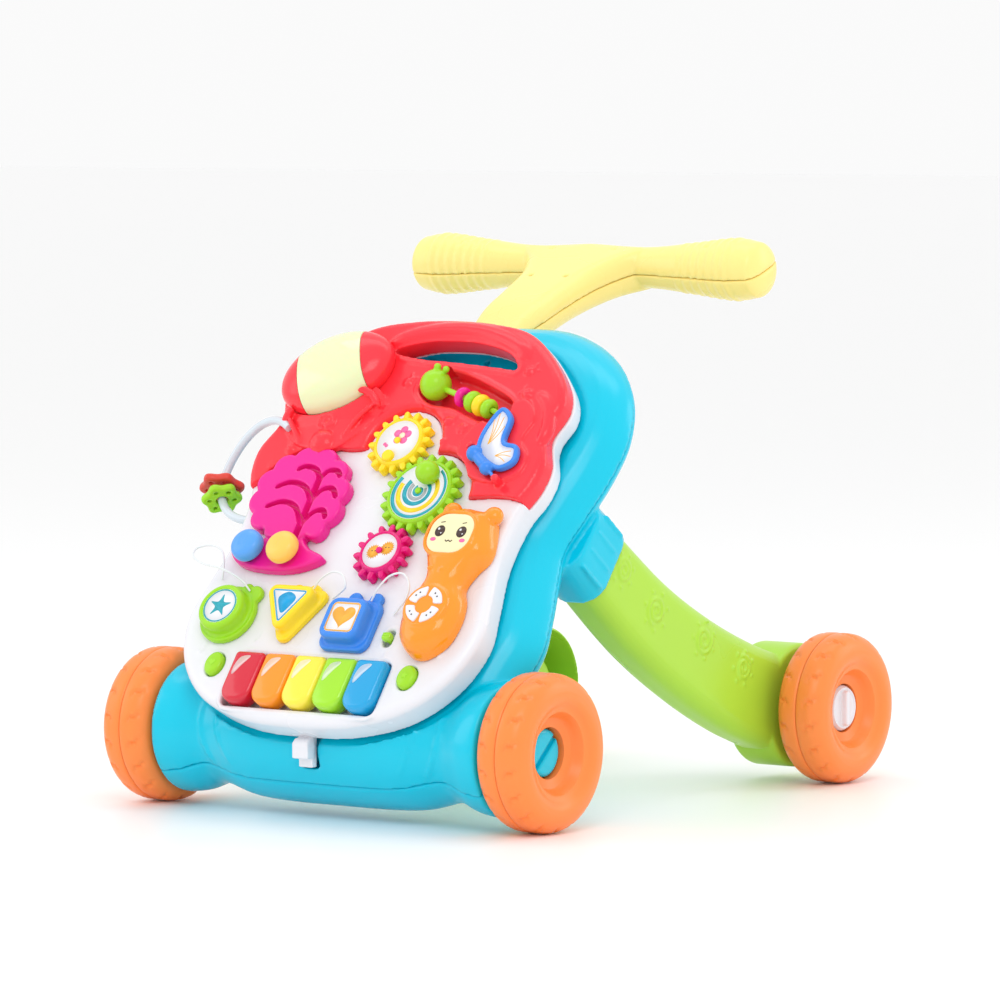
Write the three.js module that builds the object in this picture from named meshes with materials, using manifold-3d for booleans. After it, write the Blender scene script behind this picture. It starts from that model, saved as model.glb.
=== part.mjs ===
// Baby walker: a push-along walker with a detachable activity panel.
// Millimetres, +Z up, the activity panel faces -Y, the floor is Z = 0, and +X is to the right of a
// viewer who faces the panel. Panel pieces are drawn flat in the panel's own frame: x to the right,
// y up the panel's slope (called s) and z out of its face (called h).
import * as THREE from "three";
import { mergeVertices } from "three/addons/utils/BufferGeometryUtils.js";
import Module from "manifold-3d";

const wasm = await Module();
wasm.setup();

// Driving dimensions
const GAP = 0.35; // clearance between pieces that touch
const WALL = 2.6; // thickness of moulded shells
const SLIVER = 0.02; // edges shorter than this are closed up after a cut
const WHEEL_RADIUS = 60;
const WHEEL_HALF_WIDTH = 22;
const BORE_RADIUS = 19.5;
const PIN_RADIUS = 18.5;
const TRACK_HALF = 179.6; // centre of the walker to the middle of a wheel
const WHEELBASE = 406.5; // front axle to rear axle
const LEAN = 36; // degrees the panel leans back from upright
const PANEL_BASE = [0, -77.6, 74.9]; // lowest point of the panel's face, seen from the front axle
const TRAY_DEPTH = 26; // the tray's front face to its back edge
const BACK_PLATE = 3.6; // thickness of the panel's back cover
const PANEL_BACK = -TRAY_DEPTH - GAP - BACK_PLATE;
const COVER_LOW = -12; // where the red top cover sits on the tray
const COVER_HIGH = 5; // the red top cover's front face
const RIM_H = -58; // parting line of the chassis shells
const CHASSIS_FACE = -28; // front face of the chassis behind the panel
const CHASSIS_BACK = -77;
const DRUM_RADIUS = 52.5;
const DRUM_HALF = 155;
const HANDLE_Y = 320.8;
const HANDLE_Z = 412.5;
const HANDLE_HALF = 170;
const LEG_X = 127;
const LEG_HALF_THICKNESS = 21;
const HOUSING_RADIUS = 50;
const HUB_X = 156.6; // outer face of the rear hub spacer

const GEAR_MODULE = 3.3;
const KEY_COUNT = 5;
const KEY_PITCH = 29;
const KEY_LOW = 16;
const KEY_HIGH = 60;

const COLOURS = {
  cyan: 0x00c8e4,
  orange: 0xff9a4d,
  cream_yellow: 0xfde98f,
  lime: 0xb5e04a,
  white: 0xf2f2f8,
  red: 0xff3b46,
  magenta: 0xff2daa,
  deep_magenta: 0xe0107a,
  yellow: 0xffe01a,
  gear_green: 0xa8d82a,
  phone_orange: 0xff9e1b,
  face_cream: 0xf3efc0,
  blue: 0x3f8fe8,
  sky: 0x5aa3f0,
  peach: 0xffd36b,
  key_red: 0xd4213d,
  key_orange: 0xff9a1e,
  key_yellow: 0xffe94a,
  key_green: 0xa6e22e,
  key_blue: 0x0fa8e0,
  lens: 0xeaefc0,
  pale: 0xd7e1ea,
  ring_red: 0xd9473b,
  board: 0x1d7a46,
  dark: 0x33363c,
};

// ---------------------------------------------------------------- solids

// A manifold solid of any closed three.js geometry, whichever way its faces point.
function solidOf(geometry) {
  const bare = new THREE.BufferGeometry();
  const source = geometry.index ? geometry.toNonIndexed() : geometry;
  bare.setAttribute("position", source.getAttribute("position").clone());
  const merged = mergeVertices(bare, 1e-4);
  const index = [];
  for (let i = 0; i < merged.index.count; i += 3) {
    const [a, b, c] = [0, 1, 2].map((k) => merged.index.getX(i + k));
    if (a !== b && b !== c && c !== a) index.push(a, b, c);
  }
  const make = (triangles) =>
    new wasm.Manifold(
      new wasm.Mesh({
        numProp: 3,
        vertProperties: new Float32Array(merged.attributes.position.array),
        triVerts: new Uint32Array(triangles),
      }),
    );
  const solid = make(index);
  if (solid.volume() > 0) return solid;
  const turned = [];
  for (let i = 0; i < index.length; i += 3) turned.push(index[i], index[i + 2], index[i + 1]);
  return make(turned);
}

function geometryOf(solid) {
  const mesh = solid.setTolerance(SLIVER).getMesh();
  const geometry = new THREE.BufferGeometry();
  geometry.setAttribute("position", new THREE.BufferAttribute(mesh.vertProperties, 3));
  geometry.setIndex(new THREE.BufferAttribute(mesh.triVerts, 1));
  geometry.computeVertexNormals();
  return geometry;
}

const union = (...solids) => solids.reduce((all, next) => all.add(next));
const cut = (solid, ...tools) => tools.reduce((left, tool) => left.subtract(tool), solid);

// The two directions in which a ring of points is seen turning anticlockwise.
function ringBasis(ring) {
  const origin = ring[0];
  const area = new THREE.Vector3();
  ring.forEach((p, i) => {
    const a = p.clone().sub(origin);
    const b = ring[(i + 1) % ring.length].clone().sub(origin);
    area.add(a.cross(b));
  });
  const n = area.normalize();
  const helper = Math.abs(n.x) < 0.8 ? new THREE.Vector3(1, 0, 0) : new THREE.Vector3(0, 1, 0);
  const u = new THREE.Vector3().crossVectors(helper, n).normalize();
  const v = new THREE.Vector3().crossVectors(n, u);
  return { u, v };
}

// A closed solid through rings of points that all have the same count.
function loft(rings) {
  const count = rings[0].length;
  const position = rings.flat().flatMap((p) => [p.x, p.y, p.z]);
  const index = [];
  for (let r = 0; r + 1 < rings.length; r++) {
    for (let i = 0; i < count; i++) {
      const a = r * count + i;
      const b = r * count + ((i + 1) % count);
      index.push(a, b, b + count, a, b + count, a + count);
    }
  }
  const cap = (ring, base, flip) => {
    const { u, v } = ringBasis(ring);
    const flat = ring.map((p) => new THREE.Vector2(p.dot(u), p.dot(v)));
    for (const [a, b, c] of THREE.ShapeUtils.triangulateShape(flat, [])) {
      const area = THREE.ShapeUtils.area([flat[a], flat[b], flat[c]]);
      const forward = area > 0 !== flip;
      if (forward) index.push(base + a, base + b, base + c);
      else index.push(base + a, base + c, base + b);
    }
  };
  cap(rings[0], 0, true);
  cap(rings.at(-1), (rings.length - 1) * count, false);
  const geometry = new THREE.BufferGeometry();
  geometry.setAttribute("position", new THREE.Float32BufferAttribute(position, 3));
  geometry.setIndex(index);
  return geometry;
}

// ---------------------------------------------------------------- outlines

// A smooth closed outline of evenly spaced points through a few given ones.
function smoothLoop(points, count) {
  const through = points.map(([x, y]) => new THREE.Vector3(x, y, 0));
  const curve = new THREE.CatmullRomCurve3(through, true, "centripetal");
  const loop = curve.getSpacedPoints(count).slice(0, count);
  return loop.map((p) => new THREE.Vector2(p.x, p.y));
}

// The right half of an outline, from its lowest point on the centre line to its highest, made whole.
function mirrored(half) {
  const left = half
    .slice(1, -1)
    .reverse()
    .map(([x, y]) => [-x, y]);
  return [...half, ...left];
}

function ellipseLoop(x, y, rx, ry, count = 18, turn = 0) {
  return Array.from({ length: count }, (_, i) => {
    const a = (i / count) * Math.PI * 2;
    const p = new THREE.Vector2(rx * Math.cos(a), ry * Math.sin(a));
    return p.rotateAround(new THREE.Vector2(), turn).add(new THREE.Vector2(x, y));
  });
}

function roundedLoop(x, y, width, height, radius, steps = 3) {
  const loop = [];
  const corners = [
    [1, -1, -Math.PI / 2],
    [1, 1, 0],
    [-1, 1, Math.PI / 2],
    [-1, -1, Math.PI],
  ];
  for (const [sx, sy, start] of corners) {
    const cx = x + sx * (width / 2 - radius);
    const cy = y + sy * (height / 2 - radius);
    for (let k = 0; k <= steps; k++) {
      const a = start + (k / steps) * (Math.PI / 2);
      loop.push(new THREE.Vector2(cx + radius * Math.cos(a), cy + radius * Math.sin(a)));
    }
  }
  return loop;
}

const anticlockwise = (loop) => (THREE.ShapeUtils.area(loop) > 0 ? loop : [...loop].reverse());

// The outline moved inwards by a distance, or outwards by a negative one.
function inset(loop, distance) {
  if (distance === 0) return loop;
  const ring = anticlockwise(loop);
  return ring.map((p, i) => {
    const before = ring[(i + ring.length - 1) % ring.length];
    const after = ring[(i + 1) % ring.length];
    const a = p.clone().sub(before).normalize();
    const b = after.clone().sub(p).normalize();
    const normal = new THREE.Vector2(-(a.y + b.y), a.x + b.x).normalize();
    const stretch = Math.max(0.6, normal.dot(new THREE.Vector2(-a.y, a.x)));
    return p.clone().addScaledVector(normal, distance / stretch);
  });
}

const atHeight = (loop, h) => anticlockwise(loop).map((p) => new THREE.Vector3(p.x, p.y, h));

// A solid whose outline is inset by each layer's first number at the height of its second.
const layered = (loop, layers) => loft(layers.map(([d, h]) => atHeight(inset(loop, d), h)));
const prism = (loop, low, high) => loft([atHeight(loop, low), atHeight(loop, high)]);
const slab = (loop, low, high) => solidOf(prism(loop, low, high));
const disc = (x, y, radius, low, high, sides = 14) => slab(ellipseLoop(x, y, radius, radius, sides), low, high);

// A turned solid whose axis stands on the panel; the profile is [radius, h] pairs.
function turned(profile, x, y, sides = 20) {
  const points = profile.map(([r, h]) => new THREE.Vector2(r, h));
  return solidOf(new THREE.LatheGeometry(points, sides).rotateX(Math.PI / 2).translate(x, y, 0));
}

function ball(radius, x, y, h, squash = 1, sides = 10) {
  const sphere = new THREE.SphereGeometry(radius, sides, sides / 2);
  return solidOf(sphere.rotateX(Math.PI / 2).scale(1, 1, squash).translate(x, y, h));
}

function tube(points, radius, steps, sides = 8) {
  const path = new THREE.CatmullRomCurve3(points.map((p) => new THREE.Vector3(...p)));
  const section = new THREE.Shape(ellipseLoop(0, 0, radius, radius, sides));
  return new THREE.ExtrudeGeometry(section, { steps, extrudePath: path, bevelEnabled: false });
}

// ---------------------------------------------------------------- scene graph

const walker = new THREE.Group();
const panel = new THREE.Group();
panel.position.set(...PANEL_BASE);
panel.rotation.x = THREE.MathUtils.degToRad(90 - LEAN);
panel.updateMatrix();
walker.add(panel);

// Panel coordinates carried into the walker's frame, for chassis pieces that follow the panel.
const onPanel = (geometry) => geometry.applyMatrix4(panel.matrix);

function part(group, name, solid, colour, roughness = 0.35) {
  const material = new THREE.MeshStandardMaterial({ color: COLOURS[colour], roughness, metalness: 0 });
  const mesh = new THREE.Mesh(geometryOf(solid), material);
  mesh.name = name;
  group.add(mesh);
  return mesh;
}

// ---------------------------------------------------------------- outlines of the big shells

const TRAY_LOOP = smoothLoop(
  mirrored([
    [0, 3],
    [52, 6.5],
    [98, 23],
    [128, 53],
    [140, 90],
    [135, 122],
    [128, 160],
    [130, 200],
    [138, 222],
    [139, 244],
    [129, 270],
    [135, 292],
    [131, 310],
    [108, 338],
    [76, 361],
    [38, 369],
    [0, 371],
  ]),
  40,
);

const RIM_LOOP = smoothLoop(
  mirrored([
    [0, -6],
    [100, 2],
    [146, 34],
    [152, 78],
    [158, 110],
    [153, 142],
    [145, 176],
    [141, 200],
    [147, 228],
    [157, 272],
    [158, 305],
    [146, 342],
    [118, 374],
    [76, 395],
    [30, 399],
    [0, 399],
  ]),
  34,
);

const HANDLE_OPENING = smoothLoop(
  [
    [-44, 337],
    [-20, 331],
    [18, 328.5],
    [60, 325],
    [79, 324],
    [70, 336],
    [44, 345],
    [10, 348],
    [-24, 345],
  ],
  18,
);

const GEARS = [
  { name: "gear_green", teeth: 20, at: [39.5, 207], colour: "gear_green" },
  { name: "gear_yellow", teeth: 16, heading: 131.6, colour: "yellow" },
  { name: "gear_magenta", teeth: 14, heading: 256.4, colour: "deep_magenta" },
];
const pitchRadius = (teeth) => (GEAR_MODULE * teeth) / 2;
for (const gear of GEARS.slice(1)) {
  const reach = pitchRadius(gear.teeth) + pitchRadius(GEARS[0].teeth);
  const a = THREE.MathUtils.degToRad(gear.heading);
  gear.at = [GEARS[0].at[0] + reach * Math.cos(a), GEARS[0].at[1] + reach * Math.sin(a)];
}

// The red top cover: the panel's upper end above the gears and the tree, with scalloped sides.
function coverSilhouette(grow) {
  const upper = slab(inset(TRAY_LOOP, 1.6 - grow), -1, 1);
  const keep = slab(
    smoothLoop(
      [
        [200, 209],
        [200, 420],
        [-200, 420],
        [-200, 211],
        [-126, 211],
        [-112, 230],
        [-84, 246],
        [-46, 246],
        [-20, 249],
        [30, 225],
        [66, 209],
        [110, 210],
      ],
      40,
    ),
    -2,
    2,
  );
  const [green, yellow] = GEARS;
  const clearings = [green, yellow].map(({ at, teeth }) =>
    disc(at[0], at[1], pitchRadius(teeth) + 7.5 - grow, -3, 3, 20),
  );
  return cut(upper.intersect(keep), ...clearings);
}

// A plate with the cover's outline between two heights.
function coverPlate(grow, low, high) {
  const flat = geometryOf(coverSilhouette(grow));
  const middle = (low + high) / 2;
  return solidOf(flat.scale(1, 1, (high - low) / 2).translate(0, 0, middle));
}

// ---------------------------------------------------------------- chassis

function plateGeometry(loop, spineLow, spineHigh, layers) {
  const rings = layers.map(([depth, h]) =>
    anticlockwise(loop).map((p) => {
      const foot = new THREE.Vector2(0, THREE.MathUtils.clamp(p.y, spineLow, spineHigh));
      const way = foot.sub(p);
      const q = p.clone().addScaledVector(way.normalize(), depth);
      return new THREE.Vector3(q.x, q.y, h);
    }),
  );
  return loft(rings);
}

// A horizontal drum between the front wheels, waisted near both ends.
function drumGeometry(shrink, half) {
  const profile = [
    [0, -half],
    [DRUM_RADIUS - 0.5 - shrink, -half],
    [DRUM_RADIUS - 3 - shrink, -136],
    [DRUM_RADIUS - 10 - shrink, -114],
    [DRUM_RADIUS - 2 - shrink, -76],
    [DRUM_RADIUS - shrink, 0],
  ];
  const other = profile
    .slice(0, -1)
    .reverse()
    .map(([r, x]) => [r, -x]);
  const points = [...profile, ...other].map(([r, x]) => new THREE.Vector2(r, x));
  const drum = new THREE.LatheGeometry(points, 20).rotateZ(-Math.PI / 2);
  return drum.translate(0, 0, WHEEL_RADIUS);
}

// Rounded sections along the leg, from inside the chassis collar to the rear hub.
const LEG_PATH = [
  [105.7, 214.9, 29],
  [125.5, 199, 31],
  [203.5, 142.5, 34],
  [268, 107, 36],
  [330, 80, 38],
  [378, 64, 39],
];

// A path whose first point is moved back by a lead, so that a cut runs out past the piece's end.
function led([first, second, ...rest], lead) {
  const along = new THREE.Vector2(first[0] - second[0], first[1] - second[1]).setLength(lead);
  return [[first[0] + along.x, first[1] + along.y, ...first.slice(2)], second, ...rest];
}

function legGeometry(side, shrink, points = LEG_PATH.length, lead = 0) {
  const path = led(LEG_PATH.slice(0, points), lead);
  const rings = path.map(([y, z, half], i) => {
    const before = path[Math.max(0, i - 1)];
    const after = path[Math.min(path.length - 1, i + 1)];
    const along = new THREE.Vector3(0, after[0] - before[0], after[1] - before[1]).normalize();
    const across = new THREE.Vector3(0, -along.z, along.y);
    const section = roundedLoop(0, 0, 2 * (LEG_HALF_THICKNESS - shrink), 2 * (half - shrink), 14, 2);
    return section.map((p) =>
      new THREE.Vector3(side * LEG_X + p.x, y, z).addScaledVector(across, p.y),
    );
  });
  return loft(rings);
}

function hub(side, radius, low, high, y, sides = 20) {
  const cylinder = new THREE.CylinderGeometry(radius, radius, high - low, sides).rotateZ(-Math.PI / 2);
  return solidOf(cylinder.translate((side * (low + high)) / 2, y, WHEEL_RADIUS));
}

// The handle's stem, from inside the chassis top to the cross bar, as [y, z, half width, half depth].
const STEM_PATH = [
  [178, 333, 29, 15],
  [214, 368, 30, 15.5],
  [240, 381, 31, 16],
  [275, 395, 36, 17],
  [300, 405, 48, 17.5],
  [319, 412, 66, 18],
];

function stemGeometry(grow, lead = 0) {
  const path = led(STEM_PATH, lead);
  const rings = path.map(([y, z, wide, deep], i) => {
    const before = path[Math.max(0, i - 1)];
    const after = path[Math.min(path.length - 1, i + 1)];
    const along = new THREE.Vector3(0, after[0] - before[0], after[1] - before[1]).normalize();
    const across = new THREE.Vector3(0, -along.z, along.y);
    const section = roundedLoop(0, 0, 2 * (wide + grow), 2 * (deep + grow), 12 + grow, 2);
    return section.map((p) => new THREE.Vector3(p.x, y, z).addScaledVector(across, p.y));
  });
  return loft(rings);
}

// The cross bar: bulb ends, tapered grips and a thicker middle.
function barGeometry(shrink) {
  const half = [
    [0, 18.5],
    [56, 16.5],
    [100, 20.5],
    [145, 25],
    [162, 20],
  ];
  const right = half.map(([x, r]) => [Math.max(0.1, r - shrink), x]);
  const left = right
    .slice(1)
    .reverse()
    .map(([r, x]) => [r, -x]);
  const tip = HANDLE_HALF - shrink;
  const points = [[0, -tip], ...left, ...right, [0, tip]].map(([r, x]) => new THREE.Vector2(r, x));
  const bar = new THREE.LatheGeometry(points, 16).rotateZ(-Math.PI / 2);
  return bar.translate(0, HANDLE_Y, HANDLE_Z);
}

// A big block on one side of the plane that holds the bar's axis and the stem's slope.
function halfSpace(above) {
  const size = 600;
  const lift = (above ? 1 : -1) * (size / 2 + GAP / 2);
  const block = new THREE.BoxGeometry(size, size, size).translate(0, 0, lift);
  const [kneeY, kneeZ] = STEM_PATH[2];
  const slope = Math.atan2(HANDLE_Z - kneeZ, HANDLE_Y - kneeY);
  return solidOf(block.rotateX(slope).translate(0, HANDLE_Y, HANDLE_Z));
}

function chassisSolids() {
  const outer = [
    [1, RIM_H],
    [3, -49],
    [9, -40],
    [20, -32],
    [36, CHASSIS_FACE],
  ];
  const rear = [
    [1, RIM_H],
    [3, -64],
    [12, -72],
    [28, CHASSIS_BACK],
  ];
  const spine = [60, 300];
  const frontPlate = solidOf(onPanel(plateGeometry(RIM_LOOP, ...spine, outer)));
  const rearPlate = solidOf(onPanel(plateGeometry(RIM_LOOP, ...spine, [...rear].reverse())));
  const hollow = solidOf(
    onPanel(
      plateGeometry(RIM_LOOP, ...spine, [
        [30, CHASSIS_BACK + WALL],
        [14, -69],
        [5, -62],
        [5, -52],
        [12, -43],
        [24, -36.5],
        [38, PANEL_BACK - GAP - WALL],
      ]),
    ),
  );
  const drum = solidOf(drumGeometry(0, DRUM_HALF));
  const drumHollow = solidOf(drumGeometry(WALL, DRUM_HALF - WALL));
  const collars = [-1, 1].map((side) => solidOf(legGeometry(side, -3, 2)));
  const sockets = [-1, 1].map((side) => solidOf(legGeometry(side, -GAP, 3, 12)));
  const stemHole = solidOf(stemGeometry(GAP, 6));
  const seat = solidOf(onPanel(prism(inset(TRAY_LOOP, -0.8), PANEL_BACK - GAP, 60)));
  const slot = solidOf(new THREE.BoxGeometry(17, 30, 32).translate(0, -45, 57));
  const pins = [-1, 1].map((side) => hub(side, PIN_RADIUS + GAP, 120, 170, 0, 18));

  // the front shell is the plate's front and the drum; the rear cover closes them behind
  const split = solidOf(onPanel(new THREE.BoxGeometry(700, 900, 300).translate(0, 200, RIM_H - 150)));
  const skin = cut(union(frontPlate, drum), hollow, drumHollow);
  const front = cut(skin, split, seat, slot, stemHole, ...sockets, ...pins);
  const rearSkin = cut(union(rearPlate, drum, ...collars), hollow, drumHollow);
  const keep = solidOf(onPanel(new THREE.BoxGeometry(700, 900, 300).translate(0, 200, RIM_H - 150 - GAP)));
  const back = cut(rearSkin.intersect(keep), stemHole, ...sockets, ...pins);
  return { front, back };
}

function buildChassis() {
  const { front, back } = chassisSolids();
  part(walker, "chassis_front_shell", front, "cyan");
  part(walker, "chassis_rear_cover", back, "cyan");

  const bar = barGeometry(0);
  const grip = union(solidOf(bar), solidOf(stemGeometry(0)));
  const hollow = union(solidOf(barGeometry(WALL)), solidOf(stemGeometry(-WALL, 8)));
  const shell = cut(grip, hollow);
  part(walker, "handle_upper_shell", shell.intersect(halfSpace(true)), "cream_yellow");
  part(walker, "handle_lower_shell", shell.intersect(halfSpace(false)), "cream_yellow");

  for (const [side, word] of [[1, "right"], [-1, "left"]]) {
    const shellOfLeg = cut(solidOf(legGeometry(side, 0)), solidOf(legGeometry(side, WALL, LEG_PATH.length, 8)));
    const [inside, outside] = [LEG_X - LEG_HALF_THICKNESS, LEG_X + LEG_HALF_THICKNESS];
    const housing = hub(side, HOUSING_RADIUS, inside, outside, WHEELBASE);
    const spacer = hub(side, 27, LEG_X, HUB_X, WHEELBASE, 18);
    const bore = hub(side, PIN_RADIUS + 0.5, LEG_X + 2, HUB_X + 5, WHEELBASE, 18);
    const lightening = cut(
      hub(side, HOUSING_RADIUS - WALL, inside - 9, outside - WALL, WHEELBASE),
      hub(side, 27, LEG_X - 40, HUB_X, WHEELBASE, 18),
    );
    part(walker, `leg_${word}`, cut(union(shellOfLeg, housing, spacer), lightening, bore), "lime");
  }
}

// ---------------------------------------------------------------- wheels

// Half of a wheel, a hollow moulding from the seam in the middle of the tread out to the hub mouth.
const WHEEL_PROFILE = [
  [WHEEL_RADIUS, 0],
  [WHEEL_RADIUS, 9],
  [54, 19],
  [43, WHEEL_HALF_WIDTH],
  [33, 19],
  [25.5, 8.5],
  [BORE_RADIUS, 8],
  [BORE_RADIUS, 0],
  [22.2, 0],
  [25, 5],
  [43, 19.2],
  [55, 13],
  [57, 0],
];

function wheelHalf(side, outward, y) {
  const points = [...WHEEL_PROFILE, WHEEL_PROFILE[0]].map(([r, x]) => new THREE.Vector2(r, x + GAP / 2));
  const lathe = new THREE.LatheGeometry(points, 16).rotateZ(-Math.PI / 2);
  if (side * outward < 0) lathe.rotateZ(Math.PI);
  return solidOf(lathe.translate(side * TRACK_HALF, y, WHEEL_RADIUS));
}

function buildWheels() {
  for (const [place, y] of [["front", 0], ["rear", WHEELBASE]]) {
    for (const [word, side] of [["right", 1], ["left", -1]]) {
      part(walker, `${place}_wheel_${word}_outer_half`, wheelHalf(side, 1, y), "orange");
      part(walker, `${place}_wheel_${word}_inner_half`, wheelHalf(side, -1, y), "orange");
    }
  }
  for (const [word, side] of [["right", 1], ["left", -1]]) {
    const split = new THREE.BoxGeometry(14, 60, 3).rotateX(-0.7);
    split.translate(side * (TRACK_HALF + 3), 0, WHEEL_RADIUS);
    const pin = cut(hub(side, PIN_RADIUS, 122, TRACK_HALF + 5, 0, 18), solidOf(split));
    const stop = hub(side, 26, 122, 126, 0, 18);
    part(walker, `front_axle_pin_${word}`, union(pin, stop), "cyan");

    const knob = hub(side, PIN_RADIUS, LEG_X + 4, TRACK_HALF + 8, WHEELBASE, 18);
    const bar = new THREE.BoxGeometry(12, 6, 29).translate(side * (TRACK_HALF + 7), WHEELBASE, WHEEL_RADIUS);
    part(walker, `rear_axle_knob_${word}`, union(knob, solidOf(bar)), "white");
  }
}

// ---------------------------------------------------------------- activity panel

const BLOCKS = [
  { name: "block_circle", at: [-97, 92], colour: "gear_green", ear: [14, 20] },
  { name: "block_triangle", at: [-36, 97], colour: "yellow", ear: [6, 21] },
  { name: "block_square", at: [23, 89], colour: "blue", ear: [6, 23] },
];

function blockLoop(name, [x, y], size) {
  if (name === "block_circle") return ellipseLoop(x, y, 25 * size, 25 * size, 18);
  if (name === "block_square") return roundedLoop(x, y, 46 * size, 45 * size, 9, 2);
  const corner = 7;
  const reach = 29 * size - corner;
  const loop = [];
  for (const start of [-90, 30, 150]) {
    const a = THREE.MathUtils.degToRad(start);
    for (const k of [-50, 0, 50]) {
      const b = a + THREE.MathUtils.degToRad(k);
      const cx = x + reach * Math.cos(a);
      const cy = y + 3 + reach * Math.sin(a);
      loop.push(new THREE.Vector2(cx + corner * Math.cos(b), cy + corner * Math.sin(b)));
    }
  }
  return loop;
}

const PHONE_LOOP = smoothLoop(
  [
    [103, 64],
    [118, 76],
    [123, 95],
    [121, 113],
    [115, 127],
    [119, 140],
    [127, 154],
    [124, 174],
    [117, 189],
    [105, 192],
    [90, 193],
    [82, 187],
    [73, 174],
    [69, 158],
    [76, 142],
    [81, 127],
    [76, 112],
    [74, 94],
    [79, 76],
    [91, 65],
  ],
  26,
);

const TREE_LOOP = smoothLoop(
  [
    [-108, 136],
    [-78, 131],
    [-45, 135],
    [-29, 146],
    [-45, 158],
    [-38, 170],
    [-29, 184],
    [-29, 206],
    [-40, 228],
    [-60, 242],
    [-84, 243],
    [-106, 232],
    [-119, 212],
    [-119, 190],
    [-110, 172],
    [-100, 162],
    [-118, 148],
  ],
  32,
);

const BEAD_RECESS = smoothLoop(
  [
    [-6, 304],
    [4, 318],
    [20, 320],
    [60, 308],
    [90, 291],
    [86, 274],
    [64, 276],
    [36, 286],
    [8, 291],
  ],
  18,
);

// The little house under the lamp.
const HOUSE_LOOP = smoothLoop(
  [
    [-104, 268],
    [-60, 252],
    [-36, 268],
    [-40, 290],
    [-76, 300],
    [-112, 288],
  ],
  20,
);

const LAMP = { at: [-83, 310], rx: 50, ry: 35, turn: 0.42 };
const LAMP_LOOP = ellipseLoop(...LAMP.at, LAMP.rx, LAMP.ry, 22, LAMP.turn);
const ROD = { from: [14, 304.5], to: [84, 281], h: 7 };
const BUTTONS = [
  ["button_left", -92],
  ["button_right", 92],
];
const BUTTON_S = 49;
const SWITCH_AT = [60, 82];
const BUTTERFLY = { head: [80, 240.5], tail: [98, 227], h: 12.6 };
const KEY_COLOURS = ["key_red", "key_orange", "key_yellow", "key_green", "key_blue"];
const keyX = (i) => (i - (KEY_COUNT - 1) / 2) * KEY_PITCH;
const BATTERY = { at: [0, 118], width: 70, height: 52 };
const SPEAKER_AT = [-6, 176];
const ARC = { at: [-135, 228], radius: 40, low: -15, high: 9 };

// The point of the side bar at an angle in degrees; the bar slopes back from its upper end.
function arcPoint(angle) {
  const a = THREE.MathUtils.degToRad(angle);
  const fall = THREE.MathUtils.smoothstep(angle, 55, 185);
  const h = ARC.high + (ARC.low - ARC.high) * fall;
  return [ARC.at[0] + ARC.radius * Math.cos(a), ARC.at[1] + ARC.radius * Math.sin(a), h];
}

const ARC_POINTS = Array.from({ length: 12 }, (_, i) => arcPoint(52 + i * 20.5));

function buildTray() {
  const body = solidOf(
    layered(TRAY_LOOP, [
      [3, -TRAY_DEPTH],
      [0.2, -7],
      [2, -1.6],
      [7, 0],
    ]),
  );
  const ledge = coverPlate(GAP, COVER_LOW, 60);
  const cavity = cut(
    solidOf(
      layered(TRAY_LOOP, [
        [3 + WALL, -TRAY_DEPTH - 1],
        [1 + WALL, -8],
        [7 + WALL, -WALL],
      ]),
    ),
    coverPlate(WALL + GAP, COVER_LOW - WALL, 60),
  );
  const frame = slab(inset(HANDLE_OPENING, -2.4), -TRAY_DEPTH, COVER_LOW);
  const posts = GEARS.map(({ at }) => disc(at[0], at[1], 4, -WALL, 13, 12));
  const keyWell = slab(roundedLoop(0, 38, KEY_COUNT * KEY_PITCH + 1, KEY_HIGH - KEY_LOW + 2.4, 4, 2), -40, 10);
  const holes = [
    keyWell,
    slab(HANDLE_OPENING, -40, 40),
    slab(roundedLoop(...SWITCH_AT, 6, 12.4, 2.9, 2), -40, 10),
    slab(inset(PHONE_LOOP, 7.5), -40, 10),
    slab(roundedLoop(-60, 176, 5, 72, 2, 1), -40, 10),
    slab(roundedLoop(-94, 152, 5, 28, 2, 1), -40, 10),
    ...BUTTONS.map(([, x]) => slab(ellipseLoop(x, BUTTON_S, 8.4, 10.4, 20), -40, 10)),
    ...BLOCKS.map(({ name, at }) => slab(blockLoop(name, at, 0.84), -40, 10)),
    slab(inset(LAMP_LOOP, 12), -40, 40),
    solidOf(tube(ARC_POINTS, 3.9, 20)),
  ];
  part(panel, "panel_tray", cut(union(cut(body, ledge, cavity), frame, ...posts), ...holes), "white");
}

function buildBackCover() {
  const door = roundedLoop(...BATTERY.at, BATTERY.width, BATTERY.height, 4, 2);
  const top = -TRAY_DEPTH - GAP;
  const plate = slab(inset(TRAY_LOOP, 3.2), PANEL_BACK, top);
  const pocket = slab(inset(door, -GAP), PANEL_BACK - 1, PANEL_BACK + 2);
  const corners = [[-50, 205], [50, 205], [-50, 262], [50, 262]];
  const posts = corners.map(([x, y]) => disc(x, y, 3.2, top, -20.4, 10));
  const cover = cut(union(plate, ...posts), pocket, slab(HANDLE_OPENING, -60, 0));
  part(panel, "panel_back_cover", cover, "white");
  part(panel, "battery_door", slab(door, PANEL_BACK, PANEL_BACK + 1.6), "white");
  part(panel, "circuit_board", slab(roundedLoop(0, 234, 116, 70, 3, 1), -20, -18.4), "board");
  const cone = [[0, -25.8], [17, -25.8], [21, -19], [24, -18], [24, -16.5], [0, -16.5]];
  part(panel, "speaker", turned(cone, ...SPEAKER_AT, 20), "dark");
}

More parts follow.
